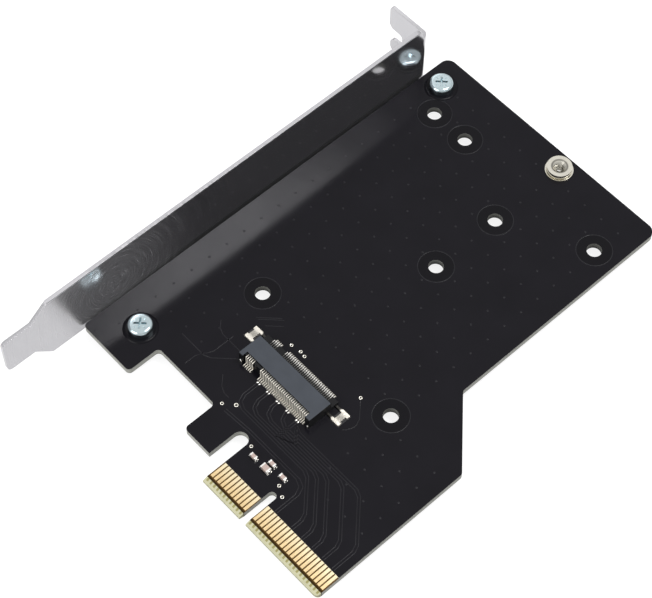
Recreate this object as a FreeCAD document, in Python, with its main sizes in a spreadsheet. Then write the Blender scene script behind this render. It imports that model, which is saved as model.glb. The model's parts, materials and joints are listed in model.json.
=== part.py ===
"""Adapter card: a bare expansion board with an edge connector, an M.2 module socket with its
contacts, a module standoff, a few chip capacitors, and a folded slot bracket on two screws.

Frame: X runs away from the bracket along the edge connector, Y runs from the edge connector's
tip up the board, and Z leaves the component side.  The origin is on the key notch's centreline,
on the connector's tip and on the board's component face.  All sizes are in millimetres.
"""
import FreeCAD, Part
import math
import os
import Sketcher

SIZES = [
    # circuit board
    ("board_thickness", 1.6),
    ("board_left", 56.7),
    ("top_margin", 3.98),
    ("board_right", 8.5),
    ("tongue_right", 22.15),
    ("flank_height", 39.6),
    ("foot_edge", 4.8),
    ("cutout_left", 41.65),
    ("cutout_right", 23.6),
    ("cutout_top", 13.0),
    ("tongue_left", 12.15),
    ("hook_slot_width", 3.6),
    ("hook_slot_top", 13.3),
    ("key_width", 1.9),
    ("key_top", 8.8),
    ("corner_radius", 2.2),
    ("small_radius", 1.0),
    ("bevel_length", 1.3),
    ("bevel_depth", 0.5),
    # copper on the board
    ("copper", 0.04),
    ("finger_pitch", 1.0),
    ("finger_width", 0.7),
    ("finger_start", 1.83),
    ("finger_end", 5.88),
    ("finger_offset", 1.5),
    # module position
    ("module_axis", 17.29),
    ("module_end", 28.32),
    ("module_underside", 1.5),
    ("short_module", 42),
    ("middle_module", 60),
    ("long_module", 80),
    ("plain_hole", 3.4),
    ("heatsink_span", 40),
    ("heatsink_height", 60.5),
    ("heatsink_start", 9.84),
    ("side_hole_reach", 29.85),
    # module standoff
    ("flange_diameter", 6.4),
    ("flange_height", 0.3),
    ("waist_diameter", 5.1),
    ("waist_top", 0.6),
    ("seat_diameter", 5.7),
    ("standoff_bore", 2.05),
    ("countersink", 3.5),
    ("countersink_depth", 0.55),
    ("standoff_shank", 4.0),
    ("shank_play", 0.05),
    # slot bracket
    ("sheet", 0.86),
    ("bracket_gap", 0.52),
    ("strip_width", 18.42),
    ("strip_top", 103.9),
    ("strip_corner", 1.5),
    ("tab_top", 105.78),
    ("tab_reach", 11.75),
    ("tab_high", 13.1),
    ("tab_low", -1.4),
    ("tab_bend", 0.75),
    ("tab_corner", 1.0),
    ("tab_notch_low", 2.6),
    ("tab_notch_width", 3.5),
    ("tab_notch_start", 7.5),
    ("prong_reach", 11.3),
    ("prong_corner", 1.5),
    ("bracket_length", 120.02),
    ("foot_width", 10.19),
    ("foot_inset", 4.45),
    ("foot_corner", 1.25),
    ("upper_shoulder_start", 2.1),
    ("upper_shoulder_end", 6.8),
    ("lower_shoulder_start", 3.1),
    ("lower_shoulder_end", 7.2),
    ("ear_bend", 0.35),
    ("ear_half_width", 3.3),
    ("ear_corner", 2.4),
    ("ear_relief", 0.8),
    ("upper_ear_root", 4.0),
    # screws through the board into the bracket's ears
    ("lower_screw_reach", 48.01),
    ("lower_screw_height", 13.32),
    ("upper_screw_reach", 51.54),
    ("upper_screw_height", 105.0),
    ("screw_size", 3.0),
    ("screw_length", 4.0),
    ("screw_head", 5.6),
    ("head_height", 2.05),
    ("head_wall", 0.85),
    ("head_shoulder", 0.5),
    ("head_shoulder_height", 1.65),
    ("head_flat", 3.1),
    ("recess_width", 0.72),
    ("recess_span", 2.7),
    ("recess_depth", 1.25),
    ("screw_play", 0.2),
    ("thread_play", 0.03),
    ("land_margin", 0.3),
    ("screw_margin", 7.3),
    # module socket housing
    ("housing_half", 10.9),
    ("housing_rear", 4.66),
    ("housing_height", 3.2),
    ("roof_front", 1.5),
    ("lip_front", 3.5),
    ("lip_height", 1.25),
    ("slot_half", 10.0),
    ("slot_stop", 0.3),
    ("slot_roof", 2.45),
    ("comb_left", 9.8),
    ("comb_right", 9.6),
    ("wall_rear", 3.9),
    ("roof_rear", 3.2),
    ("comb_height", 2.85),
    ("rib_axis", 6.125),
    ("rib_width", 1.0),
    ("rib_front", 1.2),
    ("lead_in", 0.25),
    ("peg_reach", 10.0),
    ("peg_height", 1.0),
    ("peg_diameter", 1.5),
    ("small_peg_diameter", 1.0),
    ("peg_length", 1.2),
    ("peg_play", 0.05),
    # module socket contacts
    ("contact_pitch", 0.5),
    ("contact_width", 0.2),
    ("contact_thickness", 0.15),
    ("channel_play", 0.05),
    ("upper_first", 9.25),
    ("upper_second", 4.75),
    ("lower_first", 9.0),
    ("lower_second", 5.0),
    ("rear_tail", 4.8),
    ("front_tail", 4.3),
    ("lower_seat", 0.9),
    ("lower_bend", 1.9),
    ("contact_point", 0.85),
    ("contact_bite", 0.08),
    ("tip_run", 0.4),
    ("tip_rise", 0.18),
    ("module_board", 0.8),
    ("land_width", 0.3),
    ("land_reach", 0.25),
    # hold-downs at the socket's ends
    ("hold_down_inner", 12.4),
    ("hold_down_outer", 14.6),
    ("hold_down_length", 3.4),
    ("hold_down_height", 0.35),
    ("hold_down_arm", 0.5),
    ("hold_down_waist", 0.4),
    ("hold_down_lobe", 0.9),
    ("hold_down_margin", 0.15),
    # end bands and lands of the chip capacitors
    ("cap_band", 0.35),
    ("cap_proud", 0.03),
    ("cap_land", 0.25),
]

# chip capacitors on the tongue: name, centre x, centre y, body length, body width, body height
CAPACITORS = [
    ("capacitor_left", -8.97, 10.88, 1.6, 0.8, 0.8),
    ("capacitor_large", -5.31, 10.92, 2.0, 1.25, 0.85),
    ("capacitor_upper", -5.16, 12.57, 1.6, 0.8, 0.8),
    ("capacitor_right", -1.45, 12.12, 1.6, 0.8, 0.8),
]

# how many fingers stand on each side of the key, and how many contacts in each part of a row
FINGERS = {"before_key": 11, "after_key": 21}
CONTACTS = {"short_upper": 5, "long_upper": 29, "short_lower": 4, "long_lower": 29}

# the board ends past the farthest module's standoff and past the upper bracket screw
BOARD_TOP = "max(module_end + long_module + top_margin; upper_screw_height + screw_margin)"

doc = FreeCAD.newDocument("adapter_card")
nodes = []


def make_sheet():
    """Put every driving size in the spreadsheet, one named cell each."""
    sheet = doc.addObject("Spreadsheet::Sheet", "dims")
    for row, (alias, number) in enumerate(SIZES, start=1):
        sheet.set("A%d" % row, alias)
        sheet.set("B%d" % row, str(number))
        sheet.setAlias("B%d" % row, alias)
    for row, (name, x, y, length, width, height) in enumerate(CAPACITORS, start=1):
        for column, word, number in (
                ("D", "x", x), ("E", "y", y), ("F", "length", length),
                ("G", "width", width), ("H", "height", height)):
            sheet.set("%s%d" % (column, row), str(number))
            sheet.setAlias("%s%d" % (column, row), "%s_%s" % (name, word))
    doc.recompute()


def terms(expression):
    """An expression with each size's plain name led by the sheet's name."""
    words = []
    word = ""
    for letter in expression + " ":
        if letter.isalnum() or letter == "_":
            word += letter
            continue
        words.append("dims." + word if word in ALIASES else word)
        words.append(letter)
        word = ""
    return "".join(words).strip()


def number(expression):
    """What an expression over the sheet is worth."""
    return float(SHEET_READER.evalExpression(terms(expression)))


def new_body(name):
    """A body whose label names the part."""
    body = doc.addObject("PartDesign::Body", name)
    body.Label = name
    body.AllowCompound = True
    nodes.append(body)
    return body


def new_sketch(body, name, plane, height):
    """A sketch on one of the body's own planes, moved along that plane's normal."""
    sketch = body.newObject("Sketcher::SketchObject", name)
    origin_plane = [feature for feature in body.Origin.OriginFeatures if feature.Role == plane][0]
    sketch.AttachmentSupport = [(origin_plane, "")]
    sketch.MapMode = "FlatFace"
    if height != "0":
        sketch.setExpression(".AttachmentOffset.Base.z", terms(height))
    return sketch


def pin(sketch, geometry, vertex, across, up):
    """Tie a point of a sketch to two expressions."""
    for kind, expression in (("DistanceX", across), ("DistanceY", up)):
        constraint = Sketcher.Constraint(kind, -1, 1, geometry, vertex, number(expression))
        index = sketch.addConstraint(constraint)
        sketch.setExpression("Constraints[%d]" % index, terms(expression))


def outline(body, name, plane, height, corners):
    """A closed outline of straight sides; a corner with a third value is rounded to it."""
    sketch = new_sketch(body, name, plane, height)
    points = [FreeCAD.Vector(number(corner[0]), number(corner[1]), 0) for corner in corners]
    count = len(points)
    starts = []
    ends = []
    bends = []
    for index, corner in enumerate(corners):
        here = points[index]
        if len(corner) == 2:
            starts.append(here)
            ends.append(here)
            bends.append(None)
            continue
        back = (points[index - 1] - here).normalize()
        ahead = (points[(index + 1) % count] - here).normalize()
        radius = number(corner[2])
        half = back.getAngle(ahead) / 2
        reach = radius / math.tan(half)
        centre = here + (back + ahead).normalize() * (radius / math.sin(half))
        starts.append(here + back * reach)
        ends.append(here + ahead * reach)
        middle = here + (centre - here).normalize() * ((centre - here).Length - radius)
        bends.append(Part.Arc(starts[-1], middle, ends[-1]))
    sides = []
    for index in range(count):
        line = Part.LineSegment(ends[index], starts[(index + 1) % count])
        sides.append(sketch.addGeometry(line))
    for index, corner in enumerate(corners):
        before = sides[index - 1]
        after = sides[index]
        if bends[index] is None:
            sketch.addConstraint(Sketcher.Constraint("Coincident", before, 2, after, 1))
            pin(sketch, after, 1, corner[0], corner[1])
            continue
        arc = sketch.addGeometry(bends[index])
        tail = sketch.getPoint(arc, 1)
        forward = tail.distanceToPoint(starts[index]) < tail.distanceToPoint(ends[index])
        first, last = (1, 2) if forward else (2, 1)
        sketch.addConstraint(Sketcher.Constraint("Tangent", before, 2, arc, first))
        sketch.addConstraint(Sketcher.Constraint("Tangent", arc, last, after, 1))
        rounding = sketch.addConstraint(Sketcher.Constraint("Radius", arc, number(corner[2])))
        sketch.setExpression("Constraints[%d]" % rounding, terms(corner[2]))
        mark = sketch.addGeometry(Part.Point(points[index]), True)
        sketch.addConstraint(Sketcher.Constraint("PointOnObject", mark, 1, before))
        sketch.addConstraint(Sketcher.Constraint("PointOnObject", mark, 1, after))
        pin(sketch, mark, 1, corner[0], corner[1])
    return sketch


def round_slot(body, name, plane, height, axis, width, mouth, crown):
    """A slot outline along the sketch's second axis, open side at mouth, round end at crown."""
    sketch = new_sketch(body, name, plane, height)
    middle = number(axis)
    half = number(width) / 2
    low = number(mouth)
    high = number(crown) - half
    centre = FreeCAD.Vector(middle, high, 0)
    left_low = FreeCAD.Vector(middle - half, low, 0)
    left_high = FreeCAD.Vector(middle - half, high, 0)
    right_low = FreeCAD.Vector(middle + half, low, 0)
    right_high = FreeCAD.Vector(middle + half, high, 0)
    circle = Part.Circle(centre, FreeCAD.Vector(0, 0, 1), half)
    left = sketch.addGeometry(Part.LineSegment(left_low, left_high))
    crown_arc = sketch.addGeometry(Part.ArcOfCircle(circle, 0, math.pi))
    right = sketch.addGeometry(Part.LineSegment(right_high, right_low))
    base = sketch.addGeometry(Part.LineSegment(right_low, left_low))
    sketch.addConstraint(Sketcher.Constraint("Tangent", left, 2, crown_arc, 2))
    sketch.addConstraint(Sketcher.Constraint("Tangent", crown_arc, 1, right, 1))
    sketch.addConstraint(Sketcher.Constraint("Coincident", right, 2, base, 1))
    sketch.addConstraint(Sketcher.Constraint("Coincident", base, 2, left, 1))
    sketch.addConstraint(Sketcher.Constraint("Vertical", left))
    sketch.addConstraint(Sketcher.Constraint("Vertical", right))
    pin(sketch, left, 1, "%s - %s / 2" % (axis, width), mouth)
    pin(sketch, right, 2, "%s + %s / 2" % (axis, width), mouth)
    rise = sketch.addConstraint(Sketcher.Constraint("DistanceY", -1, 1, crown_arc, 3, high))
    sketch.setExpression("Constraints[%d]" % rise, terms("%s - %s / 2" % (crown, width)))
    return sketch


def circles(body, name, plane, height, rounds):
    """A sketch of full circles, each given by its centre and its diameter."""
    sketch = new_sketch(body, name, plane, height)
    for across, up, diameter in rounds:
        centre = FreeCAD.Vector(number(across), number(up), 0)
        circle = Part.Circle(centre, FreeCAD.Vector(0, 0, 1), number(diameter) / 2)
        index = sketch.addGeometry(circle)
        size = sketch.addConstraint(Sketcher.Constraint("Diameter", index, number(diameter)))
        sketch.setExpression("Constraints[%d]" % size, terms(diameter))
        pin(sketch, index, 3, across, up)
    return sketch


def extrude(body, kind, sketch, name, length, backwards=False):
    """A pad or a pocket of a sketch; it counts only if it changed the body's volume."""
    before = body.Shape.Volume if body.Tip else 0
    feature = body.newObject("PartDesign::" + kind, name)
    feature.Profile = sketch
    feature.setExpression("Length", terms(length))
    feature.Reversed = backwards
    doc.recompute()
    change = feature.Shape.Volume - before
    if kind == "Pad" and change <= 0 or kind == "Pocket" and change >= 0:
        raise RuntimeError("%s changed nothing" % name)
    return feature


def row(body, feature, name, direction, pitch, count):
    """Repeat a feature along its sketch's first axis, H_Axis, or its normal, N_Axis."""
    pattern = body.newObject("PartDesign::LinearPattern", name)
    pattern.Originals = [feature]
    pattern.Direction = (feature.Profile[0], [direction])
    pattern.Occurrences = count
    pattern.setExpression("Length", terms("%s * %d" % (pitch, count - 1)))
    body.Tip = pattern
    doc.recompute()


def box_corners(left, right, low, high):
    """The four corners of an upright rectangle, as expressions."""
    return [(left, low), (right, low), (right, high), (left, high)]


def centred(axis, width):
    """The two sides of something centred on an axis."""
    return "%s - %s / 2" % (axis, width), "%s + %s / 2" % (axis, width)


def circuit_board():
    """The bare board: outline, key notch, hook slot, bevelled tip, finger windows and holes."""
    body = new_body("circuit_board")
    flank_end = "flank_height + tongue_right - board_right"
    corners = [
        ("-board_left", "foot_edge", "small_radius"),
        ("-cutout_left", "foot_edge", "small_radius"),
        ("-cutout_left", "cutout_top", "small_radius"),
        ("-cutout_right", "cutout_top", "small_radius"),
        ("-cutout_right", "foot_edge", "small_radius"),
        ("-tongue_left - hook_slot_width / 2", "foot_edge"),
        ("-tongue_left - hook_slot_width / 2", "0"),
        ("tongue_right", "0", "small_radius"),
        ("tongue_right", "flank_height", "small_radius"),
        ("board_right", flank_end, "small_radius"),
        ("board_right", BOARD_TOP, "corner_radius"),
        ("-board_left", BOARD_TOP, "corner_radius"),
    ]
    face = outline(body, "board_outline", "XY_Plane", "0", corners)
    extrude(body, "Pad", face, "board_sheet", "board_thickness", backwards=True)
    slot_axis = "-tongue_left - hook_slot_width / 2"
    hook = round_slot(body, "hook_slot_outline", "XY_Plane", "0",
                      slot_axis, "hook_slot_width", "-bevel_length", "hook_slot_top")
    extrude(body, "Pocket", hook, "hook_slot", "board_thickness")
    key = round_slot(body, "key_outline", "XY_Plane", "0", "0", "key_width",
                     "-bevel_length", "key_top")
    extrude(body, "Pocket", key, "key_notch", "board_thickness")
    for side, start, tip in (("top", "0", "-bevel_depth"),
                             ("bottom", "-board_thickness", "bevel_depth - board_thickness")):
        wedge = [("-bevel_length", start), ("bevel_length", start), ("0", tip),
                 ("-bevel_length", tip)]
        profile = outline(body, side + "_bevel_outline", "YZ_Plane",
                          "-tongue_left - hook_slot_width", wedge)
        extrude(body, "Pocket", profile, side + "_bevel",
                "tongue_left + hook_slot_width + tongue_right", backwards=True)
    window = box_corners("-tongue_left - small_radius", "tongue_right + small_radius",
                         "finger_start", "finger_end")
    for side, level in (("top", "0"), ("bottom", "copper - board_thickness")):
        opening = outline(body, side + "_window_outline", "XY_Plane", level, window)
        extrude(body, "Pocket", opening, side + "_finger_window", "copper")
    rounds = []
    for side in ("-", "+"):
        for level in ("0", "heatsink_height"):
            rounds.append(("-module_axis %s heatsink_span / 2" % side,
                           "module_end + heatsink_start + %s" % level, "plain_hole"))
    rounds.append(("-module_axis - side_hole_reach",
                   "module_end + heatsink_start + heatsink_height", "plain_hole"))
    for length in ("short_module", "middle_module"):
        rounds.append(("-module_axis", "module_end + " + length, "plain_hole"))
    rounds.append(("-module_axis", "module_end + long_module",
                   "standoff_shank + 2 * shank_play"))
    for which in ("lower", "upper"):
        rounds.append(("-%s_screw_reach" % which, "%s_screw_height" % which,
                       "screw_size + 2 * screw_play"))
    holes = circles(body, "hole_centres", "XY_Plane", "0", rounds)
    extrude(body, "Pocket", holes, "through_holes", "board_thickness")
    pegs = [("-module_axis - peg_reach", "module_end + peg_height",
             "peg_diameter + 2 * peg_play"),
            ("-module_axis + peg_reach", "module_end + peg_height",
             "small_peg_diameter + 2 * peg_play")]
    peg_holes = circles(body, "peg_hole_centres", "XY_Plane", "0", pegs)
    extrude(body, "Pocket", peg_holes, "peg_holes", "board_thickness")
    return body


def edge_contacts(name, low):
    """One side's gold fingers, in two groups parted by the key notch."""
    body = new_body(name)
    first = "-finger_offset - finger_pitch * %d" % (FINGERS["before_key"] - 1)
    for group, axis in (("before_key", first), ("after_key", "finger_offset")):
        left, right = centred(axis, "finger_width")
        face = outline(body, group + "_outline", "XY_Plane", low,
                       box_corners(left, right, "finger_start", "finger_end"))
        finger = extrude(body, "Pad", face, group + "_finger", "copper")
        row(body, finger, group + "_fingers", "H_Axis", "finger_pitch", FINGERS[group])
    return body


def slot_bracket():
    """The folded sheet bracket: flat strip with its foot, bent tab and two screw ears."""
    body = new_body("slot_bracket")
    inner = "-board_left - bracket_gap"
    outer = "-board_left - bracket_gap - sheet"
    low = "-board_thickness - sheet"
    high = "strip_width - board_thickness - sheet"
    foot_low = "foot_inset - board_thickness - sheet"
    foot_high = "foot_width + foot_inset - board_thickness - sheet"
    foot_tip = "tab_top - bracket_length"
    strip = [
        ("strip_top", low),
        ("strip_top", high, "strip_corner"),
        ("-upper_shoulder_start", high),
        ("-upper_shoulder_end", foot_high),
        (foot_tip, foot_high, "foot_corner"),
        (foot_tip, foot_low, "foot_corner"),
        ("-lower_shoulder_end", foot_low),
        ("-lower_shoulder_start", low),
    ]
    face = outline(body, "strip_outline", "YZ_Plane", outer, strip)
    extrude(body, "Pad", face, "strip", "sheet")
    # the tab: the strip's own section carried round the bend and out
    bend_inside = "tab_bend"
    bend_outside = "tab_bend + sheet"
    fold = [
        (inner, "strip_top - strip_corner"),
        (inner, "tab_top", bend_outside),
        ("%s - tab_reach" % inner, "tab_top"),
        ("%s - tab_reach" % inner, "tab_top - sheet"),
        (outer, "tab_top - sheet", bend_inside),
        (outer, "strip_top - strip_corner"),
    ]
    section = outline(body, "tab_section", "XY_Plane", "tab_low", fold)
    extrude(body, "Pad", section, "tab", "tab_high - tab_low")
    tip = "%s - tab_reach" % inner
    beyond = tip + " - tab_corner"
    start = "%s - tab_notch_start" % inner
    prong = "%s - prong_reach" % inner
    notch_high = "tab_notch_low + tab_notch_width"
    far_edge = [
        (beyond, notch_high + " + tab_corner"),
        (beyond, "tab_low - tab_corner"),
        (start, "tab_low - tab_corner"),
        (start, "tab_low"),
        (prong, "tab_low", "prong_corner"),
        (prong, "tab_notch_low", "prong_corner"),
        (start, "tab_notch_low", "tab_corner"),
        (start, notch_high, "tab_corner"),
        (tip + " + tab_corner", notch_high),
        (tip, notch_high + " + tab_corner"),
    ]
    cut = outline(body, "tab_notch_outline", "XZ_Plane", "-tab_top", far_edge)
    extrude(body, "Pocket", cut, "tab_notch", "sheet", backwards=True)
    ears(body, inner, outer, low)
    far_corner = (number(tip), number("tab_top - sheet / 2"), number("tab_high"))
    round_edge(body, "tab_far_corner", far_corner, "tab_corner")
    return body


def ears(body, inner, outer, low):
    """The two tapped ears, folded from the strip's lower long edge under the board."""
    top = "-board_thickness"
    bend_end = inner + " + ear_bend"
    bend_top = top + " + ear_bend"
    lower_axis = "-lower_screw_reach"
    upper_axis = "-upper_screw_reach"
    lower_start = "lower_screw_height - ear_half_width"
    lower_end = "lower_screw_height + ear_half_width"
    upper_start = "strip_top - upper_ear_root"
    plans = {
        "lower": [
            (bend_end, lower_start),
            (lower_axis + " + ear_half_width", lower_start, "ear_corner"),
            (lower_axis + " + ear_half_width", lower_end, "ear_corner"),
            (bend_end, lower_end),
        ],
        "upper": [
            (bend_end, upper_start),
            (upper_axis + " + ear_half_width", "upper_screw_height - ear_half_width",
             "ear_corner"),
            (upper_axis + " + ear_half_width", "upper_screw_height + ear_half_width",
             "ear_corner"),
            (upper_axis + " - ear_half_width", "upper_screw_height + ear_half_width",
             "ear_corner"),
            (upper_axis + " - ear_half_width", "strip_top"),
            (bend_end, "strip_top"),
        ],
    }
    roots = (("lower", lower_start, lower_end, lower_end + " + ear_relief"),
             ("upper", upper_start, "strip_top", "strip_top"))
    for which, start, end, relief_end in roots:
        relief = outline(body, which + "_relief_outline", "YZ_Plane", outer,
                         box_corners(start + " - ear_relief", relief_end, low, bend_top))
        extrude(body, "Pocket", relief, which + "_relief", "sheet", backwards=True)
        fold = [
            (outer, low, "ear_bend + sheet"),
            (bend_end + " + ear_bend + sheet", low),
            (bend_end + " + ear_bend + sheet", top),
            (inner, top, "ear_bend"),
            (inner, bend_top + " + ear_bend"),
            (outer, bend_top + " + ear_bend"),
        ]
        section = outline(body, which + "_ear_section", "XZ_Plane", "-(%s)" % start, fold)
        extrude(body, "Pad", section, which + "_ear_bend", "(%s) - (%s)" % (end, start),
                backwards=True)
        plan = outline(body, which + "_ear_outline", "XY_Plane", low, plans[which])
        extrude(body, "Pad", plan, which + "_ear", "sheet")
    holes = circles(body, "ear_hole_centres", "XY_Plane", top, [
        (lower_axis, "lower_screw_height", "screw_size + 2 * thread_play"),
        (upper_axis, "upper_screw_height", "screw_size + 2 * thread_play")])
    extrude(body, "Pocket", holes, "ear_holes", "sheet")


def round_edge(body, name, middle, radius):
    """Round the one edge of a body whose middle lies at a given point."""
    shape = body.Shape
    spot = Part.Vertex(FreeCAD.Vector(*middle))
    distances = [edge.CenterOfMass.distanceToPoint(spot.Point) for edge in shape.Edges]
    nearest = distances.index(min(distances)) + 1
    carrier = body.Tip
    feature = body.newObject("PartDesign::Fillet", name)
    feature.Base = (carrier, ["Edge%d" % nearest])
    feature.setExpression("Radius", terms(radius))
    doc.recompute()
    return feature


def turn(body, name, profile):
    """Revolve a half section about the body's own upright axis."""
    sketch = outline(body, name + "_section", "XZ_Plane", "0", profile)
    feature = body.newObject("PartDesign::Revolution", name)
    feature.Profile = sketch
    feature.ReferenceAxis = (sketch, ["V_Axis"])
    feature.Angle = 360
    doc.recompute()
    return feature


def place(body, x, y, z):
    """Tie a body's own place to three expressions."""
    for axis, expression in (("x", x), ("y", y), ("z", z)):
        body.setExpression("Placement.Base." + axis, terms(expression))


def bracket_screw(which):
    """A pan head screw with a cross recess, through the board into an ear."""
    body = new_body("bracket_screw_" + which)
    turn(body, "turned_" + which, [
        ("0", "-screw_length"),
        ("screw_size / 2", "-screw_length"),
        ("screw_size / 2", "0"),
        ("screw_head / 2", "0"),
        ("screw_head / 2", "head_wall"),
        ("screw_head / 2 - head_shoulder", "head_shoulder_height"),
        ("head_flat / 2", "head_height"),
        ("0", "head_height"),
    ])
    arm = "recess_width / 2"
    reach = "recess_span / 2"
    cross = [
        (reach, "-" + arm), (reach, arm), (arm, arm), (arm, reach), ("-" + arm, reach),
        ("-" + arm, arm), ("-" + reach, arm), ("-" + reach, "-" + arm),
        ("-" + arm, "-" + arm), ("-" + arm, "-" + reach), (arm, "-" + reach),
        (arm, "-" + arm),
    ]
    recess = outline(body, "recess_outline_" + which, "XY_Plane", "head_height", cross)
    extrude(body, "Pocket", recess, "recess_" + which, "recess_depth")
    place(body, "-%s_screw_reach" % which, "%s_screw_height" % which, "copper")
    return body


def module_standoff():
    """The turned standoff: flange, waist, seat for the module's end and a threaded bore."""
    body = new_body("module_standoff")
    turn(body, "turned_standoff", [
        ("standoff_bore / 2", "-board_thickness"),
        ("standoff_shank / 2", "-board_thickness"),
        ("standoff_shank / 2", "0"),
        ("flange_diameter / 2", "0"),
        ("flange_diameter / 2", "flange_height"),
        ("waist_diameter / 2", "flange_height"),
        ("waist_diameter / 2", "waist_top"),
        ("seat_diameter / 2", "waist_top"),
        ("seat_diameter / 2", "module_underside"),
        ("countersink / 2", "module_underside"),
        ("standoff_bore / 2", "module_underside - countersink_depth"),
    ])
    place(body, "-module_axis", "module_end + long_module", "0")
    return body


def channel_rows(level):
    """Where each row of contacts stands: name, first axis and count of its two groups."""
    return (("short_" + level, "%s_first" % level, CONTACTS["short_" + level]),
            ("long_" + level, "%s_second" % level, CONTACTS["long_" + level]))


def socket_housing():
    """The moulded housing: module slot with its key rib, a channel for every contact, pegs."""
    body = new_body("socket_housing")
    section = [
        ("-housing_rear", "0"),
        ("-housing_rear", "housing_height", "lead_in"),
        ("roof_front", "housing_height", "lead_in"),
        ("roof_front", "lip_height"),
        ("lip_front", "lip_height"),
        ("lip_front", "0"),
    ]
    block = outline(body, "housing_section", "YZ_Plane", "-housing_half", section)
    extrude(body, "Pad", block, "housing_block", "2 * housing_half")
    comb = [
        ("-housing_rear - lead_in", "-lead_in"),
        ("-wall_rear", "-lead_in"),
        ("-wall_rear", "comb_height"),
        ("-roof_rear", "comb_height"),
        ("-roof_rear", "housing_height + lead_in"),
        ("-housing_rear - lead_in", "housing_height + lead_in"),
    ]
    recess = outline(body, "comb_outline", "YZ_Plane", "-comb_left", comb)
    extrude(body, "Pocket", recess, "comb_recess", "comb_left + comb_right", backwards=True)
    slot = [
        ("-slot_stop", "lip_height"),
        ("roof_front + lead_in", "lip_height"),
        ("roof_front + lead_in", "slot_roof + 2 * lead_in"),
        ("roof_front - lead_in", "slot_roof"),
        ("-slot_stop", "slot_roof"),
    ]
    mouth = outline(body, "slot_outline", "YZ_Plane", "-slot_half", slot)
    extrude(body, "Pocket", mouth, "module_slot", "2 * slot_half", backwards=True)
    rib = outline(body, "rib_outline", "XY_Plane", "lip_height", box_corners(
        *centred("-rib_axis", "rib_width"), "-slot_stop", "rib_front"))
    extrude(body, "Pad", rib, "key_rib", "slot_roof - lip_height")
    for which, axis, size in (("left", "-peg_reach", "peg_diameter"),
                              ("right", "peg_reach", "small_peg_diameter")):
        base = circles(body, which + "_peg_outline", "XY_Plane", "0",
                       [(axis, "peg_height", size)])
        extrude(body, "Pad", base, which + "_peg", "peg_length", backwards=True)
    upper_channel = box_corners("-housing_rear", "contact_point + tip_run + channel_play",
                                "slot_roof", "comb_height")
    lower_channel = box_corners("-slot_stop", "lip_front + channel_play",
                                "lower_seat", "lip_height + channel_play")
    for level, profile in (("upper", upper_channel), ("lower", lower_channel)):
        for group, first, count in channel_rows(level):
            start = "-%s - contact_width / 2 - channel_play" % first
            sketch = outline(body, group + "_channel_outline", "YZ_Plane", start, profile)
            cut = extrude(body, "Pocket", sketch, group + "_channel",
                          "contact_width + 2 * channel_play", backwards=True)
            row(body, cut, group + "_channels", "N_Axis", "contact_pitch", count)
    place(body, "-module_axis", "module_end", "0")
    return body


def socket_contacts(name, level, profile):
    """One row of stamped contacts, each a bent strip; the key's gap parts two groups."""
    body = new_body(name)
    for group, first, count in channel_rows(level):
        start = "-%s - contact_width / 2" % first
        sketch = outline(body, group + "_contact_outline", "YZ_Plane", start, profile)
        contact = extrude(body, "Pad", sketch, group + "_contact", "contact_width")
        row(body, contact, group + "_contacts", "N_Axis", "contact_pitch", count)
    place(body, "-module_axis", "module_end", "0")
    return body


def upper_contacts():
    """Contacts that stand behind the housing and reach forward under its roof."""
    inner = "-wall_rear - channel_play"
    outer = inner + " - contact_thickness"
    bite = "module_underside + module_board - contact_bite"
    return socket_contacts("socket_contacts_upper", "upper", [
        ("-rear_tail", "copper"),
        (inner, "copper"),
        (inner, "slot_roof"),
        ("-slot_stop", "slot_roof"),
        ("contact_point", bite),
        ("contact_point + tip_run", bite + " + tip_rise"),
        ("contact_point + tip_run", bite + " + tip_rise + contact_thickness"),
        ("contact_point", bite + " + contact_thickness"),
        ("-slot_stop", "slot_roof + contact_thickness"),
        (outer, "slot_roof + contact_thickness"),
        (outer, "copper + contact_thickness"),
        ("-rear_tail", "copper + contact_thickness"),
    ])


def lower_contacts():
    """Contacts that come over the housing's front lip and rise under the module's place."""
    inner = "lip_front + channel_play"
    outer = inner + " + contact_thickness"
    bite = "module_underside + contact_bite"
    return socket_contacts("socket_contacts_lower", "lower", [
        ("front_tail", "copper"),
        ("front_tail", "copper + contact_thickness"),
        (outer, "copper + contact_thickness"),
        (outer, "lower_seat + contact_thickness"),
        ("lower_bend", "lower_seat + contact_thickness"),
        ("contact_point", bite),
        ("contact_point - tip_run", bite + " - tip_rise"),
        ("contact_point - tip_run", bite + " - tip_rise - contact_thickness"),
        ("contact_point", bite + " - contact_thickness"),
        ("lower_bend", "lower_seat"),
        (inner, "lower_seat"),
        (inner, "copper"),
    ])


def hold_down(name, side):
    """A stamped plate soldered beside the socket, with two arms to the housing's end."""
    body = new_body(name)
    low_arm = "hold_down_lobe / 2 - hold_down_arm / 2"
    high_arm = "hold_down_length - hold_down_lobe / 2 - hold_down_arm / 2"
    inner = "hold_down_inner"
    outer = "hold_down_outer"
    plan = [
        ("housing_half", low_arm),
        (inner, low_arm),
        (inner, "0"),
        (outer, "0", "hold_down_waist / 2"),
        (outer, "hold_down_lobe"),
        (outer + " - hold_down_waist", "hold_down_lobe"),
        (outer + " - hold_down_waist", "hold_down_length - hold_down_lobe"),
        (outer, "hold_down_length - hold_down_lobe"),
        (outer, "hold_down_length", "hold_down_waist / 2"),
        (inner, "hold_down_length"),
        (inner, high_arm + " + hold_down_arm"),
        ("housing_half", high_arm + " + hold_down_arm"),
        ("housing_half", high_arm),
        (inner + " + hold_down_waist", high_arm),
        (inner + " + hold_down_waist", low_arm + " + hold_down_arm"),
        ("housing_half", low_arm + " + hold_down_arm"),
    ]
    corners = [("%s(%s)" % (side, corner[0]),) + corner[1:] for corner in plan]
    face = outline(body, name + "_outline", "XY_Plane", "0", corners)
    extrude(body, "Pad", face, name + "_plate", "hold_down_height")
    place(body, "-module_axis", "module_end", "copper")
    return body


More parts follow.
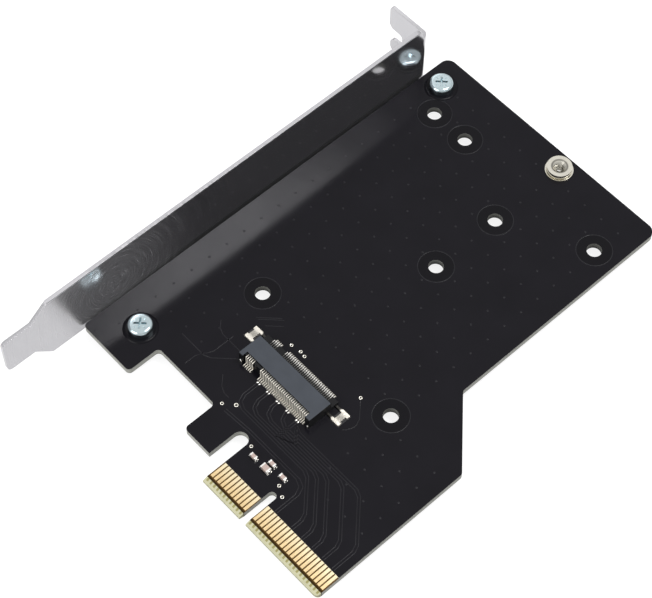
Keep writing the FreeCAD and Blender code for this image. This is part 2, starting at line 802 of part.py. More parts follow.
def socket_lands():
    """The bare copper lands that the socket's tails and hold-downs are soldered to."""
    body = new_body("socket_lands")
    spans = (("upper", "-rear_tail - land_reach", "-wall_rear - channel_play"),
             ("lower", "lip_front + channel_play", "front_tail + land_reach"))
    for level, near, far in spans:
        for group, first, count in channel_rows(level):
            left, right = centred("-" + first, "land_width")
            face = outline(body, group + "_land_outline", "XY_Plane", "0",
                           box_corners(left, right, near, far))
            land = extrude(body, "Pad", face, group + "_land", "copper")
            row(body, land, group + "_lands", "H_Axis", "contact_pitch", count)
    for which, side in (("left", "-"), ("right", "+")):
        corners = box_corners(side + "(hold_down_inner - hold_down_margin)",
                              side + "(hold_down_outer + hold_down_margin)",
                              "-hold_down_margin", "hold_down_length + hold_down_margin")
        face = outline(body, which + "_hold_down_land_outline", "XY_Plane", "0", corners)
        extrude(body, "Pad", face, which + "_hold_down_land", "copper")
    place(body, "-module_axis", "module_end", "0")
    return body


def screw_lands():
    """The bare copper rings on the component side that the two screw heads press on."""
    body = new_body("screw_lands")
    rounds = []
    for which in ("lower", "upper"):
        for diameter in ("screw_head + 2 * land_margin", "screw_size + 2 * screw_play"):
            rounds.append(("-%s_screw_reach" % which, "%s_screw_height" % which, diameter))
    face = circles(body, "screw_land_outline", "XY_Plane", "0", rounds)
    extrude(body, "Pad", face, "screw_land_rings", "copper")
    return body


def capacitor_lands():
    """A land under each end of each chip capacitor."""
    body = new_body("capacitor_lands")
    for entry in CAPACITORS:
        name = entry[0]
        half = "%s_width / 2 + cap_proud" % name
        for side in ("-", "+"):
            end = "%s_x %s (%s_length / 2" % (name, side, name)
            corners = box_corners(end + " - cap_band)", end + " + cap_land)",
                                  "%s_y - %s" % (name, half.replace("+", "-")),
                                  "%s_y + %s" % (name, half))
            label = name + ("_west" if side == "-" else "_east")
            face = outline(body, label + "_outline", "XY_Plane", "0", corners)
            extrude(body, "Pad", face, label, "copper")
    return body


def capacitor(name):
    """A chip capacitor: ceramic block between two metal end bands that stand a little proud."""
    length = name + "_length"
    width = name + "_width"
    height = name + "_height"
    blocks = []
    for block, start, run, proud in (
            ("ceramic", "-%s / 2" % length, length, "0"),
            ("west_band", "-%s / 2" % length, "cap_band", "cap_proud"),
            ("east_band", "%s / 2 - cap_band" % length, "cap_band", "cap_proud")):
        solid = doc.addObject("Part::Box", "%s_%s" % (name, block))
        solid.setExpression("Length", terms(run))
        solid.setExpression("Width", terms("%s + 2 * %s" % (width, proud)))
        solid.setExpression("Height", terms("%s + %s" % (height, proud)))
        place(solid, "%s_x + %s" % (name, start),
              "%s_y - %s / 2 - %s" % (name, width, proud), "copper")
        blocks.append(solid)
    whole = doc.addObject("Part::MultiFuse", name)
    whole.Label = name
    whole.Shapes = blocks
    doc.recompute()
    nodes.append(whole)
    return whole


def check_everything():
    """Stop if any object failed, or if a sub-part has no valid shape."""
    for thing in doc.Objects:
        if "Invalid" in thing.State or "Error" in thing.State:
            raise RuntimeError("%s failed: %s" % (thing.Label, thing.State))
    for node in nodes:
        if node.Shape.isNull() or not node.Shape.isValid() or not node.Shape.Solids:
            raise RuntimeError("%s has no valid shape" % node.Label)


def write_parts():
    """Write each sub-part to its own file."""
    os.makedirs("parts", exist_ok=True)
    for node in nodes:
        node.Shape.exportStep("parts/%s.step" % node.Label)


def main():
    """Build every sub-part, check them all, then write them."""
    circuit_board()
    edge_contacts("edge_contacts_component_side", "-copper")
    edge_contacts("edge_contacts_solder_side", "-board_thickness")
    slot_bracket()
    screw_lands()
    for which in ("lower", "upper"):
        bracket_screw(which)
    module_standoff()
    socket_housing()
    upper_contacts()
    lower_contacts()
    hold_down("socket_hold_down_left", "-")
    hold_down("socket_hold_down_right", "+")
    socket_lands()
    capacitor_lands()
    for entry in CAPACITORS:
        capacitor(entry[0])
    doc.recompute()
    check_everything()
    write_parts()


make_sheet()
ALIASES = {alias for alias, size in SIZES}
for entry in CAPACITORS:
    ALIASES.update("%s_%s" % (entry[0], word) for word in ("x", "y", "length", "width", "height"))
SHEET_READER = doc.addObject("App::FeaturePython", "size_reader")
main()
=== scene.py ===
"""Looks of a bare expansion card: satin black board, gold edge contacts, low module socket,
turned standoff, chip capacitors and a bright folded slot bracket on two cross-head screws.
"""
import json
import math

import bmesh
import bpy
from bpy.props import FloatProperty, FloatVectorProperty, IntProperty, PointerProperty
from mathutils import Matrix, Quaternion, Vector


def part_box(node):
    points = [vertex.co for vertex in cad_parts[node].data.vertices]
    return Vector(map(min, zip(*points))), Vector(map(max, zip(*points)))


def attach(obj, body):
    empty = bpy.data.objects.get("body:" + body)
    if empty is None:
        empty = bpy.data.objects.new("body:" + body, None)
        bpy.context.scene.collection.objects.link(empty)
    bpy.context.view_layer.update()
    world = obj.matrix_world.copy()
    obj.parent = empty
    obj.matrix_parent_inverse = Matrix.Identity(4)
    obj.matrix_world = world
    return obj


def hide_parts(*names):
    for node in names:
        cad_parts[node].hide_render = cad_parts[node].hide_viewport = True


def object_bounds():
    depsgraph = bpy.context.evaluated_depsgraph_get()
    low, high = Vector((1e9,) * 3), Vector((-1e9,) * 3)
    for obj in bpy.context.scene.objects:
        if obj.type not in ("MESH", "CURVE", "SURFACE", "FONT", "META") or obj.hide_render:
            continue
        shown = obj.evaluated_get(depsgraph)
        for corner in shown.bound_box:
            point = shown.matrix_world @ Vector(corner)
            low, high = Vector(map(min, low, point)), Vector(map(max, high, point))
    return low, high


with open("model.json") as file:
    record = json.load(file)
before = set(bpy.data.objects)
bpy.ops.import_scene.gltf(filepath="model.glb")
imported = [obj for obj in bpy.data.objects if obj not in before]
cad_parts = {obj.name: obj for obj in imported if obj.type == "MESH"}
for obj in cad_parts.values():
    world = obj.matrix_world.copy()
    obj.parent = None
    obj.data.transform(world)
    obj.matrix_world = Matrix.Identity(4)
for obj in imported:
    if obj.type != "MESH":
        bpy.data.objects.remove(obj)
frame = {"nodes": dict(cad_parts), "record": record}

bl_info = {
    "name": "Adapter Card Looks",
    "version": (1, 0, 0),
    "blender": (4, 5, 0),
    "location": "3D View > Sidebar > Adapter Card",
    "description": "Dresses a bare expansion card: finishes, solder, lines, vias and screws",
    "category": "Object",
}

MM = 0.001
CAD_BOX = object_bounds()


def mount(name):
    """The place of one of the record's mounts, in millimetres."""
    for entry in frame["record"]["mounts"]:
        if entry["name"] == name:
            return Vector(entry["pos_m"]) / MM
    raise RuntimeError("the record has no mount named " + name)


def middle(node):
    """The middle of a CAD node's box, in millimetres."""
    low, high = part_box(node)
    return (low + high) / 2 / MM


SOCKET = mount("module_socket")
STANDOFF = mount("standoff_thread")
SCREWS = [middle("bracket_screw_lower"), middle("bracket_screw_upper")]
CAPACITORS = ("left", "large", "upper", "right")
FULL_TURN = 2 * math.pi

# The covered lines leave the socket in pairs, at these offsets from its middle in millimetres.
PAIR_STARTS = (-4.0, -1.0, 2.0, 5.0, 8.0)
PAIR_SIDES = (-0.3, 0.3)


def plain_holes():
    """The centres of the board's plain mounting holes, in millimetres."""
    found = [mount("side_hole")]
    for entry in frame["record"]["mounts"]:
        centre = Vector(entry["pos_m"]) / MM
        sizes = entry["dims"]
        if entry["name"] == "heatsink_holes":
            half_x, half_y = sizes["spacing_x_mm"] / 2, sizes["spacing_y_mm"] / 2
            found += [centre + Vector((i * half_x, j * half_y, 0))
                      for i in (-1, 1) for j in (-1, 1)]
        if entry["name"] == "module_position_holes":
            half = sizes["spacing_y_mm"] / 2
            found += [centre + Vector((0, j * half, 0)) for j in (-1, 1)]
    return found


# ---------------------------------------------------------------- node trees

def maths_method(kind, swapped=False):
    """The method behind an operator of a varying number: one Math node over its two terms."""
    def method(self, other):
        return self.maths(kind, *((other, self) if swapped else (self, other)))
    return method


class Varying:
    """A number that varies over a surface: a shader socket that can be used in sums."""

    __add__, __radd__ = maths_method("ADD"), maths_method("ADD", True)
    __sub__, __rsub__ = maths_method("SUBTRACT"), maths_method("SUBTRACT", True)
    __mul__, __rmul__ = maths_method("MULTIPLY"), maths_method("MULTIPLY", True)
    __truediv__, __rtruediv__ = maths_method("DIVIDE"), maths_method("DIVIDE", True)
    __gt__, __lt__ = maths_method("GREATER_THAN"), maths_method("LESS_THAN")

    def __init__(self, tree, socket):
        self.tree = tree
        self.socket = socket

    def maths(self, operation, *terms):
        """A Math node over the given terms."""
        made = self.tree.node("ShaderNodeMath", {"operation": operation}, dict(enumerate(terms)))
        return Varying(self.tree, made.outputs[0])

    def __abs__(self):
        return self.maths("ABSOLUTE", self)

    def wave(self):
        """The sine of an angle in radians."""
        return self.maths("SINE", self)

    def rise(self, low, high):
        """Nought below low, one above high, and a smooth step between them."""
        made = self.tree.node("ShaderNodeMapRange", {"interpolation_type": "SMOOTHSTEP"},
                              {"Value": self, "From Min": low, "From Max": high})
        return Varying(self.tree, made.outputs["Result"])


def distance(across, up):
    """How far two varying offsets at right angles reach together."""
    return across.maths("SQRT", across * across + up * up)


class Tree:
    """A node tree that is built one node at a time."""

    def __init__(self, tree):
        self.tree = tree

    def node(self, kind, settings=None, sockets=None):
        """A node of any type: its settings first, then the values or links of its sockets."""
        made = self.tree.nodes.new(kind)
        for name, setting in (settings or {}).items():
            setattr(made, name, setting)
        for key, value in (sockets or {}).items():
            if isinstance(value, Varying):
                value = value.socket
            if isinstance(value, bpy.types.NodeSocket):
                self.tree.links.new(value, made.inputs[key])
            else:
                made.inputs[key].default_value = value
        return made


class Finish(Tree):
    """A material made of nodes, with the object's own x, y and z at hand in millimetres."""

    def __init__(self, name):
        self.material = bpy.data.materials.new(name)
        self.material.use_nodes = True
        super().__init__(self.material.node_tree)
        self.tree.nodes.clear()
        self.place = self.node("ShaderNodeTexCoord").outputs["Object"]
        apart = self.node("ShaderNodeSeparateXYZ", None, {0: self.place})
        self.x, self.y, self.z = (Varying(self, way) / MM for way in apart.outputs)

    def noise(self, size, detail=2.0, stretch=(1, 1, 1)):
        """Noise from 0 to 1 whose features are about size millimetres, times the stretch."""
        squeeze = tuple(1 / (size * MM * way) for way in stretch)
        spot = self.node("ShaderNodeVectorMath", {"operation": "MULTIPLY"},
                         {0: self.place, 1: squeeze})
        return self.texture(spot, detail)

    def arcs(self, across, up, size, run):
        """Noise drawn out along circles about a point; across and up are reckoned from it."""
        turn = across.maths("ARCTAN2", across, up)
        spot = self.node("ShaderNodeCombineXYZ", None,
                         {0: distance(across, up) / size, 1: turn * run})
        return self.texture(spot, 2.0)

    def texture(self, spot, detail):
        """The noise at a spot that is already stretched."""
        made = self.node("ShaderNodeTexNoise", None,
                         {"Vector": spot.outputs[0], "Scale": 1.0, "Detail": detail})
        return Varying(self, made.outputs["Fac"])

    def from_axis(self, place):
        """The distance in millimetres from an upright axis through a place."""
        return distance(self.x - place.x, self.y - place.y)

    def blend(self, mask, first, second):
        """The first colour where the mask is 0 and the second where it is 1."""
        made = self.node("ShaderNodeMix", {"data_type": "RGBA"},
                         {0: mask, 6: opaque(first), 7: opaque(second)})
        return made.outputs[2]

    def shade(self, colour, amount):
        """A colour made lighter or darker by a factor that varies."""
        if not isinstance(colour, bpy.types.NodeSocket):
            colour = tuple(colour)
        return self.node("ShaderNodeVectorMath", {"operation": "SCALE"},
                         {0: colour, "Scale": amount}).outputs[0]

    def mottled(self, colour, noise, spread):
        """A colour made lighter and darker about itself by a noise."""
        return self.shade(colour, 1 - spread / 2 + spread * noise)

    def bump(self, height, depth, strength=1.0, normal=None):
        """The normal of a surface with a relief of that depth in millimetres."""
        sockets = {"Height": height, "Distance": depth * MM, "Strength": strength}
        if normal:
            sockets["Normal"] = normal
        return self.node("ShaderNodeBump", None, sockets).outputs["Normal"]

    def soft_edges(self, radius):
        """The normal of a surface whose edges are rounded a little."""
        return self.node("ShaderNodeBevel", {"samples": 4},
                         {"Radius": radius * MM}).outputs["Normal"]

    def leaning(self, normal, slope):
        """The normal, leant upwards by a small slope where the surface faces along +x."""
        facing = self.node("ShaderNodeSeparateXYZ", None, {0: normal}).outputs["X"]
        lift = (Varying(self, facing) > 0.9) * slope
        rise = self.node("ShaderNodeCombineXYZ", None, {"Z": lift}).outputs[0]
        leant = self.node("ShaderNodeVectorMath", {"operation": "ADD"}, {0: normal, 1: rise})
        return self.node("ShaderNodeVectorMath", {"operation": "NORMALIZE"},
                         {0: leant.outputs[0]}).outputs[0]

    def close(self, **values):
        """The shader and the output, with the shader's sockets by name; gives the material."""
        sockets = {name.replace("_", " "): value for name, value in values.items()}
        sockets["Base Color"] = opaque(sockets["Base Color"])
        shader = self.node("ShaderNodeBsdfPrincipled", None, sockets)
        self.node("ShaderNodeOutputMaterial", None, {"Surface": shader.outputs[0]})
        return self.material


def opaque(colour):
    """A colour with its alpha; a socket is left as it is."""
    if isinstance(colour, (Varying, bpy.types.NodeSocket)):
        return colour
    return (colour[0], colour[1], colour[2], 1.0)


class Shape(Tree):
    """A Geometry Nodes tree with named inputs, which makes a plain mesh of a seed mesh."""

    def __init__(self, name, **inputs):
        super().__init__(bpy.data.node_groups.new(name, "GeometryNodeTree"))
        face = self.tree.interface
        for label, kind in {"Geometry": "Geometry", **inputs, "Material": "Material"}.items():
            face.new_socket(label, in_out="INPUT", socket_type="NodeSocket" + kind)
        face.new_socket("Geometry", in_out="OUTPUT", socket_type="NodeSocketGeometry")
        self.given = self.node("NodeGroupInput").outputs

    def attribute(self, name, kind):
        """A value that the seed mesh's points carry."""
        made = self.node("GeometryNodeInputNamedAttribute", {"data_type": kind}, {"Name": name})
        return made.outputs["Attribute"]

    def on_points(self, instance, **sockets):
        """The instance on each point of the seed mesh."""
        sockets = dict(sockets, Points=self.given["Geometry"], Instance=instance)
        return self.node("GeometryNodeInstanceOnPoints", None, sockets).outputs[0]

    def sweep(self, curve, section, caps=True):
        """A solid swept along a curve."""
        return self.node("GeometryNodeCurveToMesh", None,
                         {"Curve": curve.outputs[0], "Profile Curve": section.outputs[0],
                          "Fill Caps": caps}).outputs[0]

    def flat_sweep(self, curve, caps=True):
        """A strip of the tree's own width and height along a curve, which lies flat."""
        level = self.node("GeometryNodeSetCurveNormal", {"mode": "Z_UP"}, {0: curve.outputs[0]})
        section = self.node("GeometryNodeCurvePrimitiveQuadrilateral", None,
                            {"Width": self.given["Width"], "Height": self.given["Height"]})
        return self.sweep(level, section, caps)

    def end(self, geometry):
        """Realize what was instanced, set its material and finish the tree."""
        real = self.node("GeometryNodeRealizeInstances", None, {0: geometry}).outputs[0]
        painted = self.node("GeometryNodeSetMaterial", None,
                            {"Geometry": real, "Material": self.given["Material"]}).outputs[0]
        self.node("NodeGroupOutput", None, {0: painted})
        return self

    def grow(self, name, seeds, slot, **values):
        """The tree's result on the seed mesh, as a plain mesh piece that rides on the root."""
        holder = stand(name + "_seeds", seeds)
        modifier = holder.modifiers.new("shape", "NODES")
        modifier.node_group = self.tree
        for item in self.tree.interface.items_tree:
            if item.in_out == "INPUT" and item.name in values:
                modifier[item.identifier] = values[item.name]
        mesh = applied(holder)
        bpy.data.objects.remove(holder)
        if not mesh.polygons:
            raise RuntimeError(name + " came out empty")
        return piece(name, mesh)


def stand(name, data):
    """A new object in the scene."""
    made = bpy.data.objects.new(name, data)
    bpy.context.scene.collection.objects.link(made)
    return made


def applied(holder):
    """A mesh of an object with its modifiers applied, which are then taken off."""
    graph = bpy.context.evaluated_depsgraph_get()
    mesh = bpy.data.meshes.new_from_object(holder.evaluated_get(graph))
    holder.modifiers.clear()
    return mesh


def written(model, name):
    """A new mesh with a model's faces, and the end of the model."""
    mesh = bpy.data.meshes.new(name)
    model.to_mesh(mesh)
    model.free()
    return mesh


def piece(name, mesh):
    """A finished piece of the card, in place and riding on the root body."""
    mesh.name = name
    made = stand(name, mesh)
    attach(made, "root")
    return made


def seed_points(places, **columns):
    """A mesh of loose points in millimetres, with a vector or a number for each by name."""
    mesh = bpy.data.meshes.new("seeds")
    mesh.from_pydata([Vector(place) * MM for place in places], [], [])
    for name, values in columns.items():
        vectors = isinstance(values[0], (tuple, Vector))
        kind = "FLOAT_VECTOR" if vectors else "FLOAT"
        column = mesh.attributes.new(name, kind, "POINT")
        for entry, value in zip(column.data, values):
            if vectors:
                entry.vector = Vector(value) * MM
            else:
                entry.value = value
    return mesh


def seed_lines(lines):
    """A mesh of open lines through corners given in millimetres."""
    places, edges = [], []
    for line in lines:
        start = len(places)
        places += [Vector(corner) * MM for corner in line]
        edges += [(start + i, start + i + 1) for i in range(len(line) - 1)]
    mesh = bpy.data.meshes.new("seeds")
    mesh.from_pydata(places, edges, [])
    return mesh


def domes():
    """Rounded lumps on points: solder, or laid copper under the mask. Each has its own span."""
    shape = Shape("domes", Fineness="Int")
    ball = shape.node("GeometryNodeMeshIcoSphere", None,
                      {"Radius": 1.0, "Subdivisions": shape.given["Fineness"]})
    smooth = shape.node("GeometryNodeSetShadeSmooth", None, {0: ball.outputs[0]})
    return shape.end(shape.on_points(smooth.outputs[0],
                                     Scale=shape.attribute("span", "FLOAT_VECTOR")))


def ribbons():
    """Flat raised lines along the seed mesh's edges, with rounded turns."""
    shape = Shape("ribbons", Width="Float", Height="Float", Turn="Float")
    curve = shape.node("GeometryNodeMeshToCurve", None, {0: shape.given["Geometry"]})
    eased = shape.node("GeometryNodeFilletCurve", None,
                       {"Curve": curve.outputs[0], "Radius": shape.given["Turn"]})
    return shape.end(shape.flat_sweep(eased))


def rings():
    """Flat rings on points, each scaled by its own size."""
    shape = Shape("rings", Radius="Float", Width="Float", Height="Float", Sides="Int")
    circle = shape.node("GeometryNodeCurvePrimitiveCircle", None,
                        {"Resolution": shape.given["Sides"], "Radius": shape.given["Radius"]})
    return shape.end(shape.on_points(shape.flat_sweep(circle, caps=False),
                                     Scale=shape.attribute("size", "FLOAT")))


def threads():
    """Helical ridges on points: outside a screw, or inside a bore."""
    shape = Shape("threads", Radius="Float", Length="Float", Turns="Float", Ridge="Float",
                  Sides="Int")
    radius = shape.given["Radius"]
    helix = shape.node("GeometryNodeCurveSpiral", None,
                       {"Resolution": shape.given["Sides"], "Rotations": shape.given["Turns"],
                        "Start Radius": radius, "End Radius": radius,
                        "Height": shape.given["Length"]})
    section = shape.node("GeometryNodeCurvePrimitiveCircle", None,
                         {"Resolution": 4, "Radius": shape.given["Ridge"]})
    return shape.end(shape.on_points(shape.sweep(helix, section)))


def copies():
    """The same finished object on each point."""
    shape = Shape("copies", Model="Object")
    model = shape.node("GeometryNodeObjectInfo", {"transform_space": "ORIGINAL"},
                       {"Object": shape.given["Model"]})
    return shape.end(shape.on_points(model.outputs["Geometry"]))


# ------------------------------------------------------------------ finishes

def near_holes(finish, reach):
    """One within reach of a plain mounting hole's axis, and nought elsewhere."""
    return sum(finish.from_axis(hole) < reach / MM for hole in plain_holes())


def solder_mask(looks):
    """Satin black mask on both faces, bare laminate on the cut edges and the bevelled tip."""
    finish = Finish("solder_mask")
    half = looks.thickness / MM / 2
    off_middle = abs(finish.z + half)
    depth = half - off_middle
    low, high = (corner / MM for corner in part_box("edge_contacts_component_side"))
    masked = depth < looks.mask_depth / MM
    edge_roughness = 0.62

    # The window without mask round the contacts; below the board's skin it stays near the tip.
    end_margin, side_margin, skin, deep_end = 0.05, 0.6, 0.06, 1.32
    window = (finish.y > looks.bevel_top / MM) * (finish.y < high.y - end_margin)
    window = window * (1 - (depth > skin) * (finish.y > deep_end))
    window = window * (finish.x > low.x - side_margin)
    bevel = (finish.y < looks.bevel_top / MM) * (1 - masked)

    # The mask, darker within the rings round the plain holes.
    blotches = finish.noise(9.0, 3.0)
    grain = finish.noise(0.9, 3.0)
    ring = near_holes(finish, looks.ring_radius)
    mask = finish.shade(looks.mask_colour, (0.8 + 0.4 * blotches) * (1 - 0.35 * ring))

    # The cut edge: laminate and two inner layers, with painted shade beside the bracket and in
    # the bores, darker deeper down.
    layer_place, layer_width, shaded_side = 0.42, 0.05, 0.2
    layer = abs(off_middle - layer_place) < layer_width
    fibre = finish.noise(0.35, 2.0, (2.0, 2.0, 0.5))
    laminate = finish.mottled(looks.laminate_colour, fibre, 0.5)
    cut = finish.blend(layer * 0.75, laminate, looks.inner_copper_colour)
    # Painted shade: the cut edge beside the bracket is blended to the mask's dark colour.
    shaded = (finish.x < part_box("circuit_board")[0].x / MM + shaded_side) * 0.9
    cut = finish.blend(shaded, cut, looks.mask_colour)
    # Painted shade in the bores of the plain holes, darker deeper down.
    bore = near_holes(finish, looks.bore_shade_reach) * (1 - masked)
    cut = finish.shade(cut, 1 - bore * (0.6 - 0.2 * finish.z))

    # The bevelled tip, with one stub of plating for each contact of 1 mm pitch.
    first_stub = high.x - 0.6
    swing = ((finish.x - first_stub) * FULL_TURN).wave()
    ticks = (swing > 0.1) * (finish.y > looks.tick_start / MM)
    tip = finish.blend(ticks * 0.8, finish.mottled(looks.bevel_colour, fibre, 0.4),
                       looks.tick_colour)

    sides = finish.blend(bevel, cut, tip)
    face = finish.blend(masked, sides, mask)
    on_strip = (finish.y < looks.window_start / MM) * 1.0
    bare = finish.blend(on_strip, finish.mottled(looks.gap_colour, fibre, 0.4),
                        finish.mottled(looks.strip_colour, fibre, 0.4))
    relief = grain * 0.7 + finish.noise(3.5, 1.0)
    gain = looks.mask_roughness - edge_roughness + 0.12 * (blotches - 0.5)
    return finish.close(
        Base_Color=finish.blend(window, face, bare), Roughness=masked * gain + edge_roughness,
        Specular_IOR_Level=looks.mask_gloss, Normal=finish.bump(relief, 0.012, 0.5))


def raised_mask(looks):
    """The same mask where copper lies under it: a shade lighter and smoother."""
    finish = Finish("raised_mask")
    blotches = finish.noise(6.0, 2.0)
    return finish.close(Base_Color=finish.mottled(looks.raised_colour, blotches, 0.5),
                        Roughness=0.3 + 0.1 * blotches,
                        Specular_IOR_Level=looks.mask_gloss * 1.6)


def metal(name, colour, roughness, scale, depth=0.0015, edges=0.0):
    """A bright metal with fine marks of the given size and relief, and a cloudy polish."""
    finish = Finish(name)
    marks = finish.noise(scale)
    clouds = finish.noise(4.0)
    normal = finish.soft_edges(edges) if edges else None
    return finish.close(
        Base_Color=finish.mottled(colour, clouds, 0.12), Metallic=1.0,
        Roughness=roughness + 0.1 * (marks - 0.5) + 0.1 * (clouds - 0.5),
        Normal=finish.bump(marks, depth, 0.6, normal))


def brushed_steel(metals):
    """Bright sheet, brushed across the strip. The side that faces the board has arcs of brush
    marks and a haze near the narrow foot, and shines as if it leant back a little. The arcs in
    its colour are real brush swirls and also painted sheen round the lower screw's reflection."""
    finish = Finish("bracket_steel")
    marks = finish.noise(0.2, 2.0, (1, 1, 60))
    clouds = finish.noise(1.4, 3.0, (1, 1, 5))
    inner = (finish.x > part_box("circuit_board")[0].x / MM - 1.0) * 1.0
    foot = 1 - finish.y.rise(2.0, 14.0)
    top_edge = finish.z.rise(15.4, 15.8)

    # The arcs run about a point beside the lower screw, where its reflection falls, and fade out
    # up the strip.
    arc_y, arc_z = 14.0, 6.0
    swirls = finish.arcs(finish.y - arc_y, finish.z - arc_z, size=0.3, run=1.2)
    fade = (1 - finish.y.rise(20.0, 75.0)) * (1 - foot) * inner
    scratches = swirls.rise(0.52, 0.78)
    low_end = (1 - finish.y.rise(12.0, 40.0)) * inner
    haze = 0.055 + 0.24 * low_end * (0.8 + 0.3 * scratches)

    # Real swirls and painted sheen: the arcs lighten and darken the colour round the screw's
    # reflection.
    swirl_marks_and_sheen = (swirls - 0.5) * fade * 1.3
    rough = 0.05 + 0.06 * marks + 0.04 * clouds + 0.16 * foot + 0.3 * top_edge
    leant = finish.leaning(finish.soft_edges(0.1), metals.strip_lean)
    return finish.close(Base_Color=finish.shade(metals.steel, 0.95 + 0.1 * clouds + swirl_marks_and_sheen),
                        Metallic=1 - haze, Roughness=rough + 0.2 * fade * scratches,
                        Normal=finish.bump(marks, 0.0015, 0.5, leant))


def gold_fingers(metals):
    """Gold of the edge contacts: paler towards the card, with fine marks of insertion."""
    finish = Finish("gold_plating")
    marks = finish.noise(0.06, 2.0, (1, 50, 1))
    each = finish.noise(0.8, 2.0, (1, 6, 1))
    tone = finish.blend(finish.y.rise(2.2, 5.8), metals.gold, metals.pale_gold)
    base = finish.shade(tone, 0.72 + 0.26 * marks + 0.3 * each)
    return finish.close(Base_Color=base, Metallic=1.0, Roughness=0.2 + 0.15 * marks,
                        Normal=finish.bump(marks, 0.002, 0.6))


def standoff_metal(colour, sink):
    """Lathe-turned metal with fine rings about the standoff's axis, with painted shade in its
    countersink and a painted dark ring at its rim.
    """
    finish = Finish("nickel_brass")
    ring_pitch = 0.22
    reach = finish.from_axis(STANDOFF)
    turning = (reach * (FULL_TURN / ring_pitch)).wave() * 0.5 + 0.5
    clouds = finish.noise(1.2)
    # Painted shade: a dark ring at the countersink's rim, and darker inside it towards the bore.
    rim_shade = 1 - abs(reach - sink).rise(0.08, 0.3)
    inside = 1 - reach.rise(sink * 0.6, sink)
    light = (0.94 + 0.12 * clouds) * (1 - 0.6 * rim_shade) * (1 - 0.4 * inside)
    return finish.close(Base_Color=finish.shade(colour, light), Metallic=1.0,
                        Roughness=0.2 + 0.1 * (clouds - 0.5),
                        Normal=finish.bump(turning, 0.006, 0.5))


def moulding(looks):
    """Satin black moulded plastic with a faint grain and softened edges; its top is painted
    lighter as a painted sheen of the surroundings and its sides darker as painted shade.
    """
    finish = Finish("black_housing")
    grain = finish.noise(0.12, 3.0)
    clouds = finish.noise(3.0, 2.0)
    # Painted sheen on the top and painted shade on the sides: two tones of one black plastic.
    top = (finish.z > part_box("socket_housing")[1].z / MM - 0.03) * 1.0
    face = finish.blend(top, looks.housing_side_shade_colour, looks.housing_top_sheen_colour)
    return finish.close(Base_Color=finish.mottled(face, clouds, 0.3),
                        Roughness=0.44 + 0.1 * (grain - 0.5),
                        Specular_IOR_Level=0.2,
                        Normal=finish.bump(grain, 0.004, 0.5, finish.soft_edges(0.1)))


def contact_plating(metals, row):
    """Pale plating of the bent contacts, with painted shade on their steep sides and a painted
    shadow under the housing.
    """
    finish = Finish("contact_plating_" + row)
    marks = finish.noise(0.05, 2.0, (1, 30, 1))
    # Painted shade on the sides that face along x.
    facing = finish.node("ShaderNodeNewGeometry").outputs["Normal"]
    ways = finish.node("ShaderNodeSeparateXYZ", None, {0: facing}).outputs
    side_shade = (abs(Varying(finish, ways["X"])) > 0.6) * 1.0
    inner = (finish.y > SOCKET.y) * 1.0
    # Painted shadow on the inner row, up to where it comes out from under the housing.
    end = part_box("socket_contacts_" + row)[1].y / MM
    shadow_until, lit_from = end - 1.5, end - 1.2
    housing_shadow = inner * (1 - finish.y.rise(shadow_until, lit_from))
    tone = finish.blend(inner, metals.plating, metals.inner_plating)
    light = (0.9 + 0.2 * marks) * (1 - 0.94 * side_shade) * (1 - 0.85 * housing_shadow)
    base = finish.shade(tone, light)
    return finish.close(Base_Color=base, Metallic=0.05 + 0.4 * inner,
                        Roughness=0.3 + 0.12 * marks, Normal=finish.bump(marks, 0.0015, 0.6))


def screw_clearance(looks):
    """Dull dark ring on which a screw head sits."""
    finish = Finish("screw_clearance")
    grain = finish.noise(0.4, 2.0)
    return finish.close(Base_Color=finish.shade(looks.mask_colour, 0.5 + 0.6 * grain),
                        Roughness=0.2 + 0.1 * grain, Specular_IOR_Level=0.1,
                        Normal=finish.bump(grain, 0.004, 0.5))


def pressed_tin(metals):
    """Tinned sheet of a hold-down, dull and dark where it enters the housing."""
    finish = Finish("pressed_tin")
    grain = finish.noise(0.5, 3.0)
    dark_until, tinned_from = 12.0, 12.4
    outer = abs(finish.x - SOCKET.x).rise(dark_until, tinned_from)
    low, high = (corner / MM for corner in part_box("socket_hold_down_left"))
    lobes = abs(finish.y - (low.y + high.y) / 2).rise(0.3, 1.3)
    tin = finish.shade(metals.hold_down, (0.45 + 0.55 * lobes) * (0.8 + 0.4 * grain))
    return finish.close(Base_Color=finish.blend(outer, metals.bore, tin),
                        Metallic=0.3 + 0.5 * outer, Roughness=0.28 + 0.2 * grain,
                        Normal=finish.bump(grain, 0.08, 0.8, finish.soft_edges(0.1)))


def tinned_lands(metals, board):
    """Dull tin on the socket's narrow lands, and mask over its two broad end lands."""
    finish = Finish("tinned_lands")
    past_narrow_lands = 11.2
    broad = (abs(finish.x - SOCKET.x) > past_narrow_lands) * 1.0
    grain = finish.noise(0.3, 2.0)
    bare = finish.mottled(metals.land, grain, 0.4)
    covered = finish.mottled(board.mask_colour, grain, 0.4)
    return finish.close(Base_Color=finish.blend(broad, bare, covered),
                        Metallic=0.9 - 0.9 * broad, Roughness=0.3 + 0.15 * grain,
                        Normal=finish.bump(grain, 0.004, 0.5))


